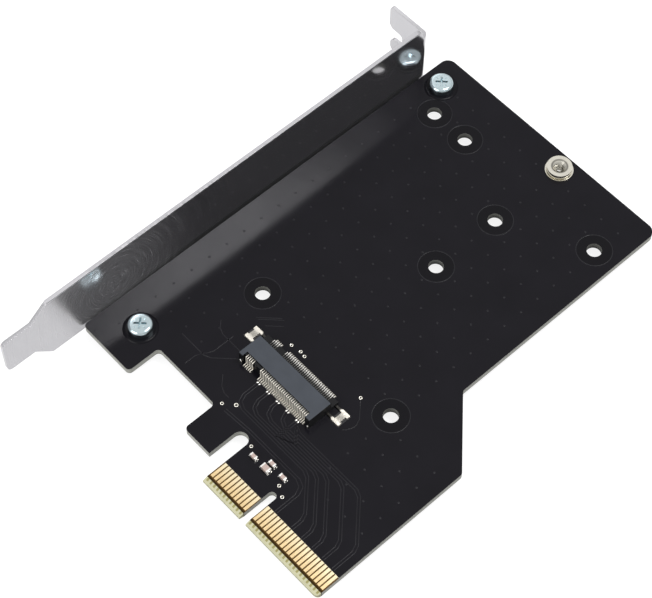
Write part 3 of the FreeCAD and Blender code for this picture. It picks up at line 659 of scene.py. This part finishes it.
def chip(name, looks):
    """A chip capacitor: matt ceramic between two tinned ends, told apart by their place."""
    finish = Finish("ceramic_" + name.split("_")[1])
    low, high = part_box(name)
    centre, half = (low + high) / 2 / MM, (high - low) / 2 / MM
    reach = abs(finish.x - centre.x)
    ends = (reach > half.x - looks.band_width / MM) * 1.0
    speckle = finish.noise(0.08, 3.0)
    body = finish.mottled(looks.ceramic_colour, speckle, 0.4)
    tin = finish.mottled(looks.end_colour, speckle, 0.2)
    return finish.close(Base_Color=finish.blend(ends, body, tin), Metallic=ends * 0.85,
                        Roughness=0.55 - 0.25 * ends + 0.15 * (speckle - 0.5),
                        Normal=finish.bump(speckle, 0.01, 0.4, finish.soft_edges(0.06)))


def dress(node, material):
    """Give a CAD node its finish."""
    slots = frame["nodes"][node].material_slots
    if not slots:
        frame["nodes"][node].data.materials.append(material)
    for entry in slots:
        entry.material = material


# ---------------------------------------------------------------- properties

def colour(text, default):
    """A colour that a user may change."""
    return FloatVectorProperty(description=text, default=default, subtype="COLOR", size=3,
                               min=0.0, max=1.0)


def length(text, default):
    """A length that a user may change, given here in millimetres."""
    return FloatProperty(description=text, default=default * MM, unit="LENGTH",
                         subtype="DISTANCE", precision=5)


def place(text, default):
    """A place that a user may change, given here in millimetres."""
    return FloatVectorProperty(description=text, default=tuple(way * MM for way in default),
                               size=3, subtype="TRANSLATION", unit="LENGTH")


def share(text, default, high=1.0):
    """A plain number that a user may change."""
    return FloatProperty(description=text, default=default, min=0.0, max=high)


class CardBoardLooks(bpy.types.PropertyGroup):
    """The circuit board's colours and small sizes."""

    thickness: length("Thickness of the board", 1.6)
    mask_depth: length("How far below a face the mask's colour reaches", 0.02)
    window_start: length("Where the bare strip of the contacts starts", 1.6)
    bevel_top: length("Where the bare bevelled tip ends", 1.15)
    tick_start: length("Where the stubs of plating on the bevel start", 0.5)
    mask_colour: colour("Solder mask", (0.0062, 0.0057, 0.0080))
    raised_colour: colour("Mask over copper", (0.0095, 0.009, 0.0118))
    laminate_colour: colour("Cut edge of the laminate", (0.45, 0.455, 0.42))
    inner_copper_colour: colour("Inner copper at the cut", (0.09, 0.07, 0.045))
    bevel_colour: colour("Bevelled tip of the laminate", (0.46, 0.45, 0.30))
    tick_colour: colour("Stubs of plating on the bevel", (0.22, 0.19, 0.05))
    gap_colour: colour("Laminate between the contacts", (0.085, 0.044, 0.007))
    strip_colour: colour("Laminate before the contacts", (0.026, 0.013, 0.001))
    mask_roughness: share("How matt the mask is", 0.16)
    mask_gloss: share("How strongly the mask reflects", 0.135)
    ring_radius: length("Radius of the ring round a plain hole", 4.0)
    bore_shade_reach: length("How far from a plain hole's axis its bore is dark", 1.8)
    line_width: length("Width of a covered copper line", 0.26)
    line_turn: length("Radius of a covered line's bends", 2.2)
    line_height: length("How far a covered line stands up", 0.03)
    stitch_pitch: length("Spacing of the covered vias", 5.0)
    stitch_size: length("Radius of a covered via", 0.27)


class CardMetalLooks(bpy.types.PropertyGroup):
    """The card's bare metals: their colours, the strip's lean and the ringed vias' sizes."""

    gold: colour("Tips of the edge contacts", (0.93, 0.70, 0.38))
    pale_gold: colour("Inner ends of the edge contacts", (1.0, 0.86, 0.58))
    steel: colour("Slot bracket", (0.515, 0.51, 0.53))
    strip_lean: share("Slope by which the strip shines as if it leant back", 0.052)
    zinc: colour("Bracket screws", (0.60, 0.71, 0.745))
    nickel: colour("Module standoff", (0.80, 0.77, 0.68))
    plating: colour("Socket contacts", (1.0, 0.95, 0.84))
    inner_plating: colour("Contacts of the row behind", (0.72, 0.70, 0.66))
    tin: colour("Solder and capacitor lands", (0.88, 0.86, 0.82))
    land: colour("Narrow lands of the socket", (0.36, 0.34, 0.30))
    hold_down: colour("Pressed ends of the socket", (0.80, 0.76, 0.68))
    via: colour("Ringed vias", (0.90, 0.87, 0.78))
    # A dark colour: the painted shade in the vias' open bores, and the hold-downs' dark inner
    # arms.
    bore: colour("Inside of a ringed via", (0.02, 0.018, 0.015))
    via_ring: length("Outer radius of a ringed via", 0.40)
    via_bore: length("Radius of a ringed via's bore", 0.22)


class CardSocketLooks(bpy.types.PropertyGroup):
    """The module socket and the chip capacitors."""

    housing_top_sheen_colour: colour("Top of the moulded housing", (0.046, 0.052, 0.063))
    housing_side_shade_colour: colour("Sides of the housing", (0.005, 0.005, 0.006))
    ceramic_colour: colour("Capacitor bodies", (0.40, 0.31, 0.28))
    end_colour: colour("Capacitor ends", (0.88, 0.86, 0.83))
    band_width: length("Width of a capacitor's tinned end", 0.35)
    fillet_width: length("Half width of a tail's solder", 0.085)
    fillet_length: length("Half length of a tail's solder", 0.2)
    fillet_height: length("Height of a tail's solder", 0.14)


class CardScrewLooks(bpy.types.PropertyGroup):
    """The two pan head screws and the standoff's thread."""

    head_radius: length("Radius of the pan head", 2.78)
    head_height: length("Height of the pan head", 2.05)
    clearance_radius: length("Radius of the dull ring under a head", 3.9)
    flat_radius: length("Radius of the head's flat top", 2.1)
    wall_height: length("Height of the head's straight wall", 1.35)
    recess_span: length("Tip to tip across the cross recess", 2.9)
    recess_width: length("Width of an arm of the cross", 0.48)
    recess_depth: length("Depth of the cross recess", 0.9)
    thread_radius: length("Outer radius of the screw's thread", 1.5)
    shank_length: length("Length of the screw below its head", 4.0)
    pitch: length("Rise of the thread in one turn", 0.5)
    bore_radius: length("Radius of the standoff's bore", 1.025)
    sink_radius: length("Radius of the standoff's countersink", 1.75)
    fine_pitch: length("Rise of the standoff's thread in one turn", 0.4)
    sides: IntProperty(description="Sides of a turned shape", default=48, min=12)


class CardStageLooks(bpy.types.PropertyGroup):
    """Floor, light and camera."""

    floor_colour: colour("Pale floor", (0.88, 0.88, 0.88))
    floor_glow: share("Brightness the camera sees added to the floor", 0.85, 2.0)
    floor_share: share("How much of the floor's look is that brightness", 0.7)
    sky_low: share("Brightness of the surroundings at the horizon", 0.5, 2.0)
    sky_high: share("Brightness of the surroundings overhead", 0.82, 2.0)
    lamp_size: length("Width of a soft lamp", 450.0)
    high_lamp_size: length("Width of the high lamp", 260.0)
    focal_length: FloatProperty(description="Lens of the camera", default=107.67, min=1.0,
                                unit="CAMERA")
    camera_place: place("Where the camera stands", (133.4, -100.8, 353.8))
    camera_aim: place("What the camera looks at", (-27.1, 47.2, 0.0))
    camera_roll: FloatProperty(description="Turn of the camera about its own line",
                               subtype="ANGLE", unit="ROTATION", default=math.radians(0.47))


# ----------------------------------------------------------------- operators

class Step:
    """What every operator does: its own work on the scene, which raises if it fails."""

    def execute(self, context):
        self.make(context.scene)
        return {"FINISHED"}


class CARD_OT_stage(Step, bpy.types.Operator):
    """Set up the camera, the soft lamps, the surroundings and the pale floor"""

    bl_idname = "card.stage"
    bl_label = "Stage"

    def make(self, scene):
        looks = scene.card_stage
        self.camera(scene, looks)
        self.floor(looks)
        self.sky(scene, looks)
        for name, place, watts, size in (
                ("key_lamp", (-0.05, -0.60, 0.38), 2.2, looks.lamp_size),
                ("back_lamp", (-0.60, 0.35, 0.42), 0.4, looks.lamp_size),
                ("high_lamp", (0.14, 0.29, 0.74), 3.5, looks.high_lamp_size)):
            self.lamp(name, Vector(place), watts, size)
        scene.view_settings.view_transform = "Standard"

    def camera(self, scene, looks):
        """The camera, turned to its aim and rolled a little."""
        lens = bpy.data.cameras.new("camera")
        lens.lens = looks.focal_length
        lens.clip_start, lens.clip_end = 0.01, 20.0
        camera = stand("camera", lens)
        sight = Vector(looks.camera_aim) - Vector(looks.camera_place)
        roll = Quaternion((0, 0, 1), looks.camera_roll)
        camera.rotation_mode = "QUATERNION"
        camera.location = looks.camera_place
        camera.rotation_quaternion = sight.to_track_quat("-Z", "Y") @ roll
        scene.camera = camera

    def floor(self, looks):
        """A wide floor that looks near white and keeps the card's shadow, with a painted shadow
        in the gap between the bracket and the board.
        """
        model = bmesh.new()
        bmesh.ops.create_grid(model, x_segments=1, y_segments=1, size=3.0)
        bmesh.ops.translate(model, verts=model.verts, vec=(0, 0, CAD_BOX[0].z))
        floor = stand("floor", written(model, "floor"))
        finish = Finish("floor_paper")
        rays = finish.node("ShaderNodeLightPath").outputs
        seen = Varying(finish, rays["Is Camera Ray"]) + Varying(finish, rays["Is Glossy Ray"])
        seen = seen + Varying(finish, rays["Is Transmission Ray"])
        paper = finish.mottled(looks.floor_colour, finish.noise(6.0), 0.02)
        matt = finish.node("ShaderNodeBsdfDiffuse", None, {"Color": paper})
        # Painted shadow: the paper does not glow in the gap between the bracket and the board.
        gap_shadow_x = finish.x.rise(-58.6, -57.4) - finish.x.rise(-55.0, -53.5)
        gap_shadow_y = finish.y.rise(6.5, 9.0) - finish.y.rise(103.0, 106.0)
        strength = seen * (1 - gap_shadow_x * gap_shadow_y) * (looks.floor_glow / looks.floor_share)
        glow = finish.node("ShaderNodeEmission", None,
                           {"Color": (1, 1, 1, 1), "Strength": strength})
        both = finish.node("ShaderNodeMixShader", None,
                           {0: looks.floor_share, 1: matt.outputs[0], 2: glow.outputs[0]})
        finish.node("ShaderNodeOutputMaterial", None, {"Surface": both.outputs[0]})
        floor.data.materials.append(finish.material)

    def sky(self, scene, looks):
        """Plain grey surroundings, brighter overhead than at the horizon."""
        world = bpy.data.worlds.new("surroundings")
        world.use_nodes = True
        world.node_tree.nodes.clear()
        tree = Tree(world.node_tree)
        way = tree.node("ShaderNodeTexCoord").outputs["Generated"]
        up = Varying(tree, tree.node("ShaderNodeSeparateXYZ", None, {0: way}).outputs["Z"])
        strength = looks.sky_low + (looks.sky_high - looks.sky_low) * up.rise(0.0, 0.85)
        glow = tree.node("ShaderNodeBackground", None,
                         {"Color": (1, 1, 1, 1), "Strength": strength})
        tree.node("ShaderNodeOutputWorld", None, {"Surface": glow.outputs[0]})
        scene.world = world

    def lamp(self, name, place, watts, size):
        """A square soft lamp aimed at the card."""
        data = bpy.data.lights.new(name, "AREA")
        data.shape = "SQUARE"
        data.size = size
        data.energy = watts
        lamp = stand(name, data)
        lamp.location = place
        aim = (CAD_BOX[0] + CAD_BOX[1]) / 2 - place
        lamp.rotation_mode = "QUATERNION"
        lamp.rotation_quaternion = aim.to_track_quat("-Z", "Y")


class CARD_OT_circuit_board(Step, bpy.types.Operator):
    """Finish the circuit board: mask, cut edges, bevelled tip and bare strip of the contacts"""

    bl_idname = "card.circuit_board"
    bl_label = "Circuit board"

    def make(self, scene):
        dress("circuit_board", solder_mask(scene.card_board))


class CARD_OT_edge_contacts(Step, bpy.types.Operator):
    """Finish the gold edge contacts of both sides"""

    bl_idname = "card.edge_contacts"
    bl_label = "Edge contacts"

    def make(self, scene):
        gold = gold_fingers(scene.card_metals)
        for side in ("component", "solder"):
            dress("edge_contacts_%s_side" % side, gold)


class CARD_OT_covered_copper(Step, bpy.types.Operator):
    """Lay the covered copper lines, the rings round the holes and the covered vias"""

    bl_idname = "card.covered_copper"
    bl_label = "Covered copper"

    def make(self, scene):
        looks = scene.card_board
        mask = raised_mask(looks)
        ribbons().grow("covered_lines", seed_lines(self.routes()), "solder_mask",
                       Width=looks.line_width, Height=looks.line_height,
                       Turn=looks.line_turn, Material=mask)
        centres = [(hole.x, hole.y, 0) for hole in plain_holes()]
        rings().grow("hole_rings", seed_points(centres, size=[1.0] * len(centres)),
                     "solder_mask", Radius=looks.ring_radius, Width=looks.line_width,
                     Height=looks.line_height / 2, Sides=48, Material=mask)
        vias = self.stitching(looks.stitch_pitch / MM)
        reach = looks.stitch_size / MM
        spans = [(reach, reach, looks.line_height / MM / 2)] * len(vias)
        domes().grow("covered_vias", seed_points(vias, span=spans), "solder_mask",
                     Fineness=2, Material=mask)

    def routes(self):
        """The corners of each covered line: in pairs from the socket to the edge contacts."""
        lines = []
        top, ease, low_end = 22.6, 1.5, 6.2
        levels = ((16.6, 1.0, 8.0), (17.8, 2.6, 11.0), (19.0, 4.4, 14.0), (20.2, 7.6, 17.0),
                  (21.4, 11.2, 20.0))
        for start, (level, turn, finger) in zip(PAIR_STARTS, levels):
            left = SOCKET.x + start
            for side in PAIR_SIDES:
                slant = side * math.tan(math.pi / 8)
                lines.append([(left + side, top, 0), (left + side, level + ease + slant, 0),
                              (left + ease + slant, level + side, 0),
                              (turn + slant, level + side, 0),
                              (finger + side, level + turn - finger + slant, 0),
                              (finger + side, low_end, 0)])
        for side in PAIR_SIDES:
            lines.append([(-21.2, 13.8 + side, 0), (-14.2, 14.3 + side, 0),
                          (1.6 + side, 14.3 + side, 0), (3.2 + side, 12.7 + side, 0),
                          (3.2 + side, low_end, 0)])
            lines.append([(-33.4 + side, 33.1, 0), (-29.4 + side, 37.1, 0)])
        lines += [
            [(-4.5, 36.3, 0), (-2.5, 34.3, 0), (-0.4, 32.2, 0), (-0.4, 29.7, 0),
             (-1.6, 28.5, 0)],
            [(-35.2, 14.8, 0), (-35.2, 18.5, 0), (-33.4, 20.3, 0), (-33.4, 26.5, 0)],
            [(-27.9, 18.9, 0), (-25.2, 16.2, 0), (-22.9, 16.2, 0)],
            [(-30.8, 33.2, 0), (-28.0, 36.0, 0)],
            [(-28.2, 24.0, 0), (-33.2, 19.0, 0), (-41.2, 19.0, 0)],
            [(-28.2, 25.2, 0), (-36.2, 25.2, 0), (-38.2, 27.2, 0)],
        ]
        return lines

    def stitching(self, pitch):
        """Covered vias on a square grid, kept clear of edges, holes, screws and socket."""
        clear = [(hole, 3.6) for hole in plain_holes()] + [(screw, 4.4) for screw in SCREWS]
        clear.append((STANDOFF, 4.6))
        # Low and high x, then y: the main area, the part past the step, the lower screw's leg.
        areas = ((-54.0, 6.8, 16.0, 110.5), (6.8, 20.0, 12.0, 38.0), (-54.0, -43.5, 7.0, 16.0))
        column, row = 3.1, 50.7
        found = []
        for i in range(-11, 4):
            for j in range(-9, 12):
                x, y = column + i * pitch, row + j * pitch
                inside = any(a < x < b and c < y < d for a, b, c, d in areas)
                free = all(math.hypot(x - spot.x, y - spot.y) > reach for spot, reach in clear)
                at_socket = abs(x - SOCKET.x) < 16.5 and 6.0 < y < 38.0
                if inside and free and not at_socket:
                    found.append((x, y, 0))
        return found


class CARD_OT_ringed_vias(Step, bpy.types.Operator):
    """Set the nine bare vias with their plated rings and bores of painted shade"""

    bl_idname = "card.ringed_vias"
    bl_label = "Ringed vias"

    def make(self, scene):
        metals = scene.card_metals
        spots = [(-22.77, 14.27, 1.0), (-20.51, 16.20, 1.2), (-11.24, 12.21, 1.0),
                 (-0.75, 10.50, 1.0), (1.56, 9.27, 1.0), (-23.51, 34.17, 1.0),
                 (-21.03, 34.54, 1.0), (-19.67, 34.35, 1.0), (-4.51, 36.36, 1.0)]
        places = [(x, y, 0) for x, y, _ in spots]
        plating = metal("via_plating", metals.via, 0.3, scale=0.06)
        width = metals.via_ring - metals.via_bore
        rings().grow("ringed_vias", seed_points(places, size=[spot[2] for spot in spots]),
                     "gold_plating", Radius=metals.via_bore + width / 2, Width=width,
                     Height=0.07 * MM, Sides=24, Material=plating)
        # Painted shade: dark domes stand in the vias' open bores.
        finish = Finish("via_bore")
        dark = finish.close(Base_Color=finish.mottled(metals.bore, finish.noise(0.1), 0.6),
                            Roughness=0.5)
        reach = metals.via_bore / MM
        spans = [(reach, reach, 0.02)] * len(places)
        domes().grow("via_bores", seed_points(places, span=spans), "gold_plating",
                     Fineness=2, Material=dark)


class CARD_OT_slot_bracket(Step, bpy.types.Operator):
    """Finish the folded slot bracket: bright sheet with brush marks across the strip"""

    bl_idname = "card.slot_bracket"
    bl_label = "Slot bracket"

    def make(self, scene):
        dress("slot_bracket", brushed_steel(scene.card_metals))


def turned(profile, sides):
    """A closed mesh turned about the upright axis from (radius, height) points, top first."""
    model = bmesh.new()
    loops = []
    for radius, height in profile:
        if radius == 0:
            loops.append([model.verts.new((0, 0, height))])
            continue
        loops.append([model.verts.new((radius * math.cos(FULL_TURN * i / sides),
                                       radius * math.sin(FULL_TURN * i / sides), height))
                      for i in range(sides)])
    for above, below in zip(loops, loops[1:]):
        for i in range(sides):
            ahead = (i + 1) % sides
            corners = [above[i % len(above)], below[i % len(below)],
                       below[ahead % len(below)], above[ahead % len(above)]]
            model.faces.new(list(dict.fromkeys(corners)))
    bmesh.ops.recalc_face_normals(model, faces=model.faces)
    return written(model, "turned")


class CARD_OT_bracket_screws(Step, bpy.types.Operator):
    """Make the two pan head screws with their cross recess, ticks and thread"""

    bl_idname = "card.bracket_screws"
    bl_label = "Bracket screws"

    def make(self, scene):
        looks = scene.card_screws
        metals = scene.card_metals
        zinc = metal("zinc_steel", metals.zinc, 0.15, scale=0.08, edges=0.05)
        head = self.model(looks)
        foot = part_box("screw_lands")[1].z / MM
        places = [(screw.x, screw.y, foot) for screw in SCREWS]
        made = copies().grow("bracket_screws", seed_points(places), "zinc_steel", Model=head,
                             Material=zinc)
        bpy.data.objects.remove(head)
        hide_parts("bracket_screw_lower", "bracket_screw_upper")
        centres = [(screw.x, screw.y, 0) for screw in SCREWS]
        width = looks.clearance_radius - looks.head_radius + 0.2 * MM
        rings().grow("screw_clearances", seed_points(centres, size=[1.0, 1.0]), "solder_mask",
                     Radius=looks.clearance_radius - width / 2, Width=width, Height=0.03 * MM,
                     Sides=48, Material=screw_clearance(scene.card_board))
        ridge = 0.16 * MM
        run = looks.shank_length - ridge
        tips = [(x, y, z - run / MM) for x, y, z in places]
        threads().grow("screw_threads", seed_points(tips), "zinc_steel",
                       Radius=looks.thread_radius - ridge, Length=run - ridge,
                       Turns=run / looks.pitch, Ridge=ridge, Sides=20, Material=zinc)

    def model(self, looks):
        """One screw with its head's underside at height 0."""
        rise = looks.head_height - looks.wall_height
        bulge = looks.head_radius - looks.flat_radius
        steps, bluntness = 9, 1.3
        turns = [math.pi / 2 * (1 - i / steps) for i in range(steps + 1)]
        dome = [(looks.flat_radius + bulge * math.cos(turn),
                 looks.wall_height + rise * math.sin(turn) ** bluntness) for turn in turns]
        chamfer, tip = 0.08 * MM, 0.2 * MM
        core = looks.thread_radius - 0.22 * MM
        level = [(0, looks.head_height), (looks.flat_radius - chamfer, looks.head_height)]
        profile = level + dome + [
            (looks.head_radius, chamfer), (looks.head_radius - chamfer, 0),
            (core, 0), (core, tip - looks.shank_length),
            (core - tip, -looks.shank_length), (0, -looks.shank_length)]
        screw = stand("screw_model", turned(profile, looks.sides))
        for polygon in screw.data.polygons:
            polygon.use_smooth = True
        cutter = stand("cross_cutter", self.cross(looks))
        cut = screw.modifiers.new("cross", "BOOLEAN")
        cut.operation = "DIFFERENCE"
        cut.object = cutter
        cut.solver = "EXACT"
        screw.data = applied(screw)
        screw.data.set_sharp_from_angle(angle=math.radians(30))
        bpy.data.objects.remove(cutter)
        return screw

    def cross(self, looks):
        """The tapered cross that cuts the recess, with four short ticks between its arms."""
        model = bmesh.new()
        top = looks.head_height + 0.1 * MM
        low = looks.head_height - looks.recess_depth
        half = looks.recess_width / 2
        reach = looks.recess_span / 2
        corners = [(reach, -half), (reach, half), (half, half), (half, reach), (-half, reach),
                   (-half, half), (-reach, half), (-reach, -half), (-half, -half),
                   (-half, -reach), (half, -reach), (half, -half)]
        for outline, depth, taper in self.cuts(corners, low, looks.head_height):
            upper = [model.verts.new((x, y, top)) for x, y in outline]
            lower = [model.verts.new((x * taper, y * taper, depth)) for x, y in outline]
            count = len(outline)
            model.faces.new(upper)
            model.faces.new(list(reversed(lower)))
            for i in range(count):
                model.faces.new([upper[i], lower[i], lower[(i + 1) % count],
                                 upper[(i + 1) % count]])
        bmesh.ops.recalc_face_normals(model, faces=model.faces)
        return written(model, "cross")

    def cuts(self, corners, low, top):
        """The cross and its four ticks: outline, depth and taper of each."""
        eighth = Matrix.Rotation(math.pi / 4, 2)
        cross_taper, tick_depth = 0.62, 0.12 * MM
        yield [tuple(eighth @ Vector(corner)) for corner in corners], low, cross_taper
        tick = [(1.15, -0.05), (1.6, -0.05), (1.6, 0.05), (1.15, 0.05)]
        for turn in range(4):
            spin = Matrix.Rotation(turn * math.pi / 2, 2)
            yield [tuple(spin @ Vector(corner) * MM) for corner in tick], top - tick_depth, 1.0


class CARD_OT_module_standoff(Step, bpy.types.Operator):
    """Finish the turned standoff and cut its fine thread"""

    bl_idname = "card.module_standoff"
    bl_label = "Module standoff"

    def make(self, scene):
        looks = scene.card_screws
        metals = scene.card_metals
        nickel = standoff_metal(metals.nickel, looks.sink_radius / MM)
        dress("module_standoff", nickel)
        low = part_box("module_standoff")[0].z / MM + 0.15
        run = 2.2 * MM
        threads().grow("standoff_thread", seed_points([(STANDOFF.x, STANDOFF.y, low)]),
                       "nickel_brass", Radius=looks.bore_radius, Length=run,
                       Turns=run / looks.fine_pitch, Ridge=0.1 * MM, Sides=20,
                       Material=nickel)


def islands(node):
    """The boxes, in millimetres, of the separate solids in a CAD node, in order of place."""
    model = bmesh.new()
    model.from_mesh(frame["nodes"][node].data)
    bmesh.ops.remove_doubles(model, verts=model.verts, dist=1e-7)
    left, found = set(model.verts), []
    while left:
        group, edge = set(), [left.pop()]
        while edge:
            vertex = edge.pop()
            group.add(vertex)
            for side in vertex.link_edges:
                other = side.other_vert(vertex)
                if other in left:
                    left.discard(other)
                    edge.append(other)
        places = [vertex.co / MM for vertex in group]
        low = Vector(min(place[axis] for place in places) for axis in range(3))
        high = Vector(max(place[axis] for place in places) for axis in range(3))
        found.append((low, high))
    model.free()
    return sorted(found, key=lambda box: tuple(box[0]))


class CARD_OT_module_socket(Step, bpy.types.Operator):
    """Finish the socket's moulding, contacts, hold-downs and lands"""

    bl_idname = "card.module_socket"
    bl_label = "Module socket"

    def make(self, scene):
        metals = scene.card_metals
        dress("socket_housing", moulding(scene.card_socket))
        for row in ("upper", "lower"):
            dress("socket_contacts_" + row, contact_plating(metals, row))
        for side in ("left", "right"):
            dress("socket_hold_down_" + side, pressed_tin(metals))
        dress("socket_lands", tinned_lands(metals, scene.card_board))
        dress("capacitor_lands", metal("tin", metals.tin, 0.34, scale=0.15, depth=0.006,
                                       edges=0.06))
        dress("screw_lands", screw_clearance(scene.card_board))


class CARD_OT_solder(Step, bpy.types.Operator):
    """Add the solder at every tail of the socket, at its covered pads and at the capacitors"""

    bl_idname = "card.solder"
    bl_label = "Solder"

    def make(self, scene):
        looks = scene.card_socket
        solder = metal("solder", scene.card_metals.tin, 0.2, scale=0.2, depth=0.004)
        span = (looks.fillet_width / MM, looks.fillet_length / MM, looks.fillet_height / MM)
        places, spans = [], []
        broad_land, inset, hidden_share = 1, 0.2, 0.45
        for low, high in islands("socket_lands"):
            if high.x - low.x > broad_land:
                continue
            centre = (low + high) / 2
            outward = centre.y < SOCKET.y
            end = low.y + inset if outward else high.y - inset
            places.append((centre.x, end, high.z))
            spans.append(span if outward else tuple(hidden_share * way for way in span))
        # Two larger lumps just past the ends of the near row.
        for side, width, rise in ((-10.35, 0.5, 0.85), (10.5, 0.3, 0.5)):
            places.append((SOCKET.x + side, SOCKET.y - 4.75, 0.3))
            spans.append((width, 0.22, rise))
        domes().grow("socket_solder", seed_points(places, span=spans), "tin",
                     Fineness=2, Material=solder)
        ends = [(SOCKET.x + start + side, SOCKET.y - 5.3, 0.03)
                for start in PAIR_STARTS for side in PAIR_SIDES]
        spans = [(0.22, 0.34, 0.05)] * len(ends)
        domes().grow("socket_via_ends", seed_points(ends, span=spans), "tin",
                     Fineness=2, Material=solder)
        feet, sizes = [], []
        for name in CAPACITORS:
            low, high = (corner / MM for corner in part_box("capacitor_" + name))
            for end in (low.x - 0.05, high.x + 0.05):
                feet.append((end, (low.y + high.y) / 2, low.z))
                sizes.append((0.2, (high.y - low.y) / 2, (high.z - low.z) * 0.6))
        domes().grow("capacitor_solder", seed_points(feet, span=sizes), "tin", Fineness=3,
                     Material=solder)


class CARD_OT_capacitors(Step, bpy.types.Operator):
    """Finish the four chip capacitors"""

    bl_idname = "card.capacitors"
    bl_label = "Capacitors"

    def make(self, scene):
        for name in CAPACITORS:
            node = "capacitor_" + name
            dress(node, chip(node, scene.card_socket))


OPERATORS = (
    CARD_OT_stage,
    CARD_OT_circuit_board,
    CARD_OT_edge_contacts,
    CARD_OT_covered_copper,
    CARD_OT_ringed_vias,
    CARD_OT_slot_bracket,
    CARD_OT_bracket_screws,
    CARD_OT_module_standoff,
    CARD_OT_module_socket,
    CARD_OT_solder,
    CARD_OT_capacitors,
)
GROUPS = {
    "card_board": CardBoardLooks,
    "card_metals": CardMetalLooks,
    "card_socket": CardSocketLooks,
    "card_screws": CardScrewLooks,
    "card_stage": CardStageLooks,
}


class CARD_PT_looks(bpy.types.Panel):
    """Lists the card's pieces and the values that may be changed"""

    bl_idname = "CARD_PT_looks"
    bl_label = "Adapter Card"
    bl_space_type = "VIEW_3D"
    bl_region_type = "UI"
    bl_category = "Adapter Card"

    def draw(self, context):
        column = self.layout.column(align=True)
        for operator in OPERATORS:
            column.operator(operator.bl_idname, text=operator.bl_label)
        for name, group in GROUPS.items():
            box = self.layout.box()
            for field in group.__annotations__:
                label = field.replace("_", " ").capitalize()
                box.prop(getattr(context.scene, name), field, text=label)


def register():
    """Register the groups, operators and panel."""
    for name, group in GROUPS.items():
        bpy.utils.register_class(group)
        setattr(bpy.types.Scene, name, PointerProperty(type=group))
    for part in (*OPERATORS, CARD_PT_looks):
        bpy.utils.register_class(part)


def unregister():
    """Take them all out again."""
    for part in (CARD_PT_looks, *reversed(OPERATORS)):
        bpy.utils.unregister_class(part)
    for name, group in reversed(GROUPS.items()):
        delattr(bpy.types.Scene, name)
        bpy.utils.unregister_class(group)


def main():
    """Dress the card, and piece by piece."""
    register()
    for operator in OPERATORS:
        section, name = operator.bl_idname.split(".")
        getattr(getattr(bpy.ops, section), name)()


if __name__ == "__main__":
    main()
